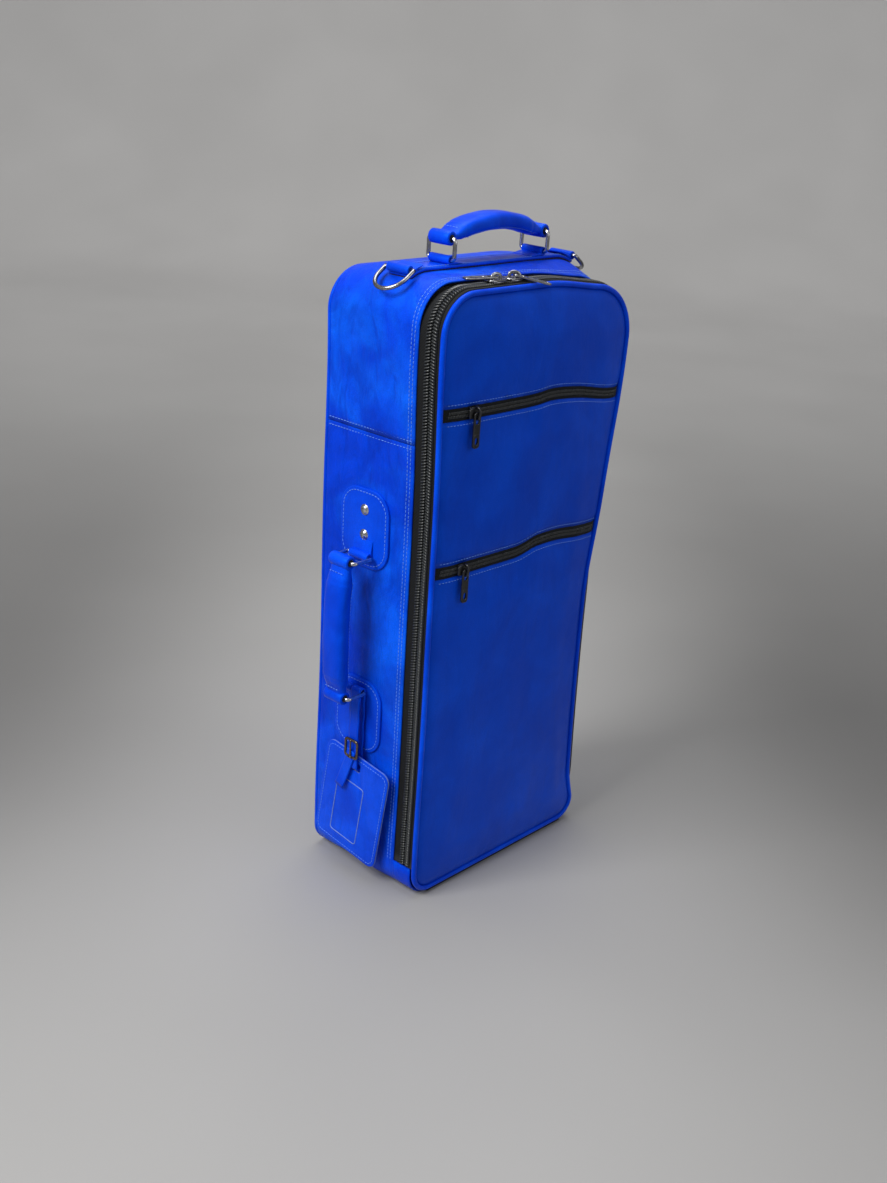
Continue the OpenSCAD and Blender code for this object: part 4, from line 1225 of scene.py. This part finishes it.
def tag():
    p = pivot("tag_strap_swing")
    slot_z = pivot("tag_card_sway")[2]
    strap_w = 12.0
    r = 3.2
    a = np.radians(np.linspace(0, 180, 16))
    drop = p[2] - slot_z
    over = [(r * math.cos(t), r * math.sin(t)) for t in a]
    under = [(-r * math.cos(t), -drop - r * math.sin(t)) for t in a]

    def mids(x, z0, z1):
        return [(x + 0.5 * math.sin(k * 1.7), z0 + (z1 - z0) * k / 12) for k in range(1, 12)]

    loop = over + mids(-r, 0, -drop) + under + mids(r, -drop, 0)
    path = np.array([(p[0] + x, p[1], p[2] + z) for x, z in loop])
    t = np.roll(path, -1, 0) - np.roll(path, 1, 0)
    out = np.stack([-t[:, 2], 0 * t[:, 0], t[:, 0]], 1)
    out /= np.linalg.norm(out, axis=1)[:, None]
    centre = path.mean(0)
    if np.sum((path - centre) * out) < 0:
        out = -out
    v = np.linspace(-1, 1, 7)
    verts = np.concatenate([path + np.array([0, 1.0, 0]) * (k * strap_w / 2) for k in v])
    belt = make("tag_strap_leather", verts, grid_faces(7, len(path), False, True), TRIM_BLUE)
    thicken(belt, 1.5, offset=0.0)
    place(belt, "tag_strap", ["tag_strap"])
    face_x = low("tag_buckle")[0] + 1.8
    tail_path = []
    for k in np.linspace(0, 1, 16):
        tail_path.append((face_x - 2.2 + 1.4 * math.sin(k * math.pi) * 0.6, p[1] - 0.5 + 15 * k, slot_z + 17 - 42 * k))
    tail_path = np.array(tail_path)
    tail_out = np.tile([-1.0, 0, 0], (16, 1))
    side = np.cross(tail_path[-1] - tail_path[0], [-1.0, 0, 0])
    side /= np.linalg.norm(side)
    tail = strip("tag_strap_tail", tail_path, tail_out, strap_w - 1.5, 1.4, TRIM_BLUE, across=side)
    place(tail, "tag_strap")
    zc = (low("tag_buckle")[2] + high("tag_buckle")[2]) / 2
    at = pose(face_x - 1.6, p[1], zc) @ pose(0, 0, 0, rx=90, rz=-90)
    loops = [rounded_rect(17.4, 19.4, 3.4), rounded_rect(12.6, 14.6, 1.8)]
    buckle = plate("tag_buckle_frame", loops, 2.2, 0.8, BRONZE, at)
    place(buckle, "tag_strap", ["tag_buckle"])
    pr = pivot("tag_prong_lift")
    pts = [(pr[0], pr[1], pr[2] + z) for z in np.linspace(0, 17.5, 8)]
    prong = tube("tag_prong_pin", pts, [1.1, 1.0, 0.9, 0.9, 0.9, 0.85, 0.8, 0.6], BRONZE, sides=10)
    wrap = tube("tag_prong_wrap", [(pr[0], pr[1] - 2, pr[2]), (pr[0], pr[1], pr[2]), (pr[0], pr[1] + 2, pr[2])], 1.2, BRONZE)
    place(join("tag_prong_metal", [prong, wrap]), "tag_prong", ["tag_prong"])
    card_at = pose(p[0], p[1], slot_z) @ pose(0, 0, 0, rx=8) @ pose(0, 0, 0, rx=90, rz=-90)
    outer = rounded_rect(81, 104, 9, 12) + [CARD_X, 11 - 52]
    hole = rounded_rect(17, 9.5, 2.4) + [0, -0.5]
    core = plate("tag_core", [outer, hole], 1.0, 0.2, CUT_EDGE, card_at)
    skins = []
    for side in (-1, 1):
        skin = plate(f"tag_skin_{side}", [outer * 0.9985, hole], 0.9, 0.35, TRIM_BLUE, card_at @ pose(0, 0, side * 0.9))
        skins.append(skin)
    card = join("tag_card_leather", [core, *skins])
    place(card, "tag_card", ["tag_card"])
    edge = rounded_rect(75, 98, 7, 12) + [CARD_X, 11 - 52]
    line = moved(np.insert(edge, 2, 1.4, axis=1), card_at)
    out = np.array(card_at.to_3x3() @ Vector((0, 0, 1.0)))
    frame_loop = rounded_rect(34, 62, 3, 8) + [CARD_X - 4, -50]
    inner = moved(np.insert(frame_loop, 2, 1.4, axis=1), card_at)
    place(stitches("tag_edge_stitching", [line], [out], THREAD, closed=True, pitch=3.2, length=2.3, r=0.32), "tag_card")
    groove = tube("tag_address_frame", inner, 0.45, CUT_EDGE, closed=True, sides=6)
    place(groove, "tag_card")


# ------------------------------------------------------------ base and inside

def base():
    n_x, n_y = 40, 24
    y0, y1 = low("base_panel")[1], high("base_panel")[1]
    x = np.linspace(-BASE_HALF, BASE_HALF, n_x)
    y = np.linspace(y0, y1, n_y)
    gx, gy = np.meshgrid(x, y)
    z = np.full_like(gx, 2.5)
    verts = np.stack([gx.ravel(), gy.ravel(), z.ravel()], 1)
    obj = make("base_panel_leather", verts, grid_faces(n_y, n_x), BLACK_LEATHER)
    thicken(obj, 2.4, offset=-1.0)
    modify(obj, "BEVEL", width=0.7 * MM, segments=3)
    place(obj, "case", ["base_panel", "base_board"])


def inside():
    lip = PART_Y + 5
    back = BACK_Y - 13.8
    prof = [(3.4, lip + 0.8), (4.2, lip - 0.1), (7.0, lip - 0.4), (10.4, lip - 0.1), (11.5, lip + 1.2)]
    prof += [(11.7, y) for y in np.linspace(lip + 3, back - 3, 18)] + [(12.4, back - 1), (14.5, back)]
    side = ring_band("lining_wall", prof, CASE_TOP - 1, VELOUR)
    verts, faces = spokes(14.4, CASE_TOP - 1, 0.0, lambda x, z, d: np.full_like(x, back) - 1.5 * smooth(0, 30, d))
    floor = weld(make("lining_back", verts, faces, VELOUR), 0.4)
    both = join("case_lining", [side, floor])
    place(both, "case", ["lining", "foam_back", "foam_left", "foam_right", "foam_top", "foam_base"])
    thicken(both, 0.8)

    def y_of(x, z, depth):
        p = np.stack([x, np.zeros_like(x), z], 1)
        return PART_Y - 1.8 + 1.2 * smooth(0, 12, depth) + 0.35 * ripple(p, 80, 44) * smooth(0, 30, depth)

    verts, faces = spokes(5.0, LID_TOP, LID_LOW, y_of)
    lid = weld(make("lid_lining_cloth", verts, faces, VELOUR), 0.4)
    bm_flip(lid, 1)
    bend(lid)
    thicken(lid, 0.8)
    place(lid, "lid", ["lid_lining", "lid_foam", "pocket_bag_upper", "pocket_bag_lower"])


# ------------------------------------------------------------ stage, light and camera

def stage():
    xs = np.concatenate([np.linspace(-9000, -1600, 8), np.linspace(-1500, 1500, 90), np.linspace(1600, 9000, 8)])
    n = len(xs)
    prof = [(-9000.0, 0.0), (-3000.0, 0.0)] + [(y, 0.0) for y in np.linspace(-2000, 2900, 80)]
    prof += [(2900 + 1500 * math.sin(a), 1500 - 1500 * math.cos(a)) for a in np.linspace(0.1, math.pi / 2, 14)]
    prof += [(4400.0, 8000.0)]
    verts = np.array([(x, y, z) for y, z in prof for x in xs])
    # Painted light and shade on the floor and sweep: the 'shade' attribute darkens the floor near the front, lightens
    # it up the back, and paints a dark band of shade behind and beside the case.
    far, across = verts[:, 1] - 150, verts[:, 0]
    band = np.exp(-((far / np.where(far > 0, 1250, 480)) ** 2))
    shade = (0.8 + 0.75 * smooth(500, 3400, far)) * (1 - 0.6 * band * smooth(90, 560, np.abs(across + 30)))
    turn = Matrix.Rotation(math.radians(-48.5), 3, "Z")
    verts = np.array([tuple(turn @ Vector(v)) for v in verts])
    nodes = Nodes("studio_floor")
    tone = nodes.ramp(nodes.noise(2.0, 2.0), 0.3, 0.7, (0.37, 0.366, 0.363), (0.4, 0.396, 0.393))
    painted = nodes.add("ShaderNodeAttribute", attribute_name="shade").outputs["Color"]
    mat = nodes.finish(nodes.mix(1.0, tone, painted, "MULTIPLY"), 0.6)
    floor = make("studio_floor", verts, grid_faces(len(prof), n), mat)
    colors = floor.data.color_attributes.new("shade", "FLOAT_COLOR", "POINT")
    colors.data.foreach_set("color", np.repeat(shade, 4))


def light(name, where, aim, size, power, color=(1, 1, 1)):
    data = bpy.data.lights.new(name, "AREA")
    data.energy = power
    data.size = size
    data.color = color
    obj = bpy.data.objects.new(name, data)
    bpy.context.scene.collection.objects.link(obj)
    obj.location = where
    obj.rotation_euler = (Vector(aim) - Vector(where)).to_track_quat("-Z", "Y").to_euler()


def lights():
    aim = (0, 0, 0.3)
    light("key", (-2.1, 0.3, 2.1), aim, 1.3, 78, (1.0, 0.99, 0.97))
    light("top", (0.2, 0.4, 2.9), aim, 2.0, 44)
    light("fill", (0.7, -2.7, 1.5), aim, 2.2, 17)
    world = bpy.data.worlds.new("studio")
    bpy.context.scene.world = world
    world.use_nodes = True
    world.node_tree.nodes["Background"].inputs[0].default_value = (0.8, 0.8, 0.8, 1)
    world.node_tree.nodes["Background"].inputs[1].default_value = 0.42


def camera():
    azimuth, elevation, roll = math.radians(-48.495), math.radians(21.426), math.radians(3.976)
    back = Vector((math.sin(azimuth) * math.cos(elevation), -math.cos(azimuth) * math.cos(elevation), math.sin(elevation)))
    right = (-back).cross(Vector((0, 0, 1))).normalized()
    up = right.cross(-back)
    cam_x = right * math.cos(roll) + up * math.sin(roll)
    cam_y = -right * math.sin(roll) + up * math.cos(roll)
    turn = Matrix((cam_x, cam_y, back)).transposed().to_4x4()
    data = bpy.data.cameras.new("camera")
    data.sensor_width = 36.0
    data.lens = 43.83
    data.clip_end = 50
    obj = bpy.data.objects.new("camera", data)
    bpy.context.scene.collection.objects.link(obj)
    obj.matrix_world = Matrix.Translation((-0.966, -0.8277, 0.755)) @ turn
    bpy.context.scene.camera = obj


camera()
stage()
lights()
body_shell()
piping()
lid_front()
back_panel()
main_zip()
pocket_zips()
sliders()
rings()
grips()
top_strap()
patches()
tag()
base()
inside()

bpy.context.scene.view_settings.view_transform = "Standard"
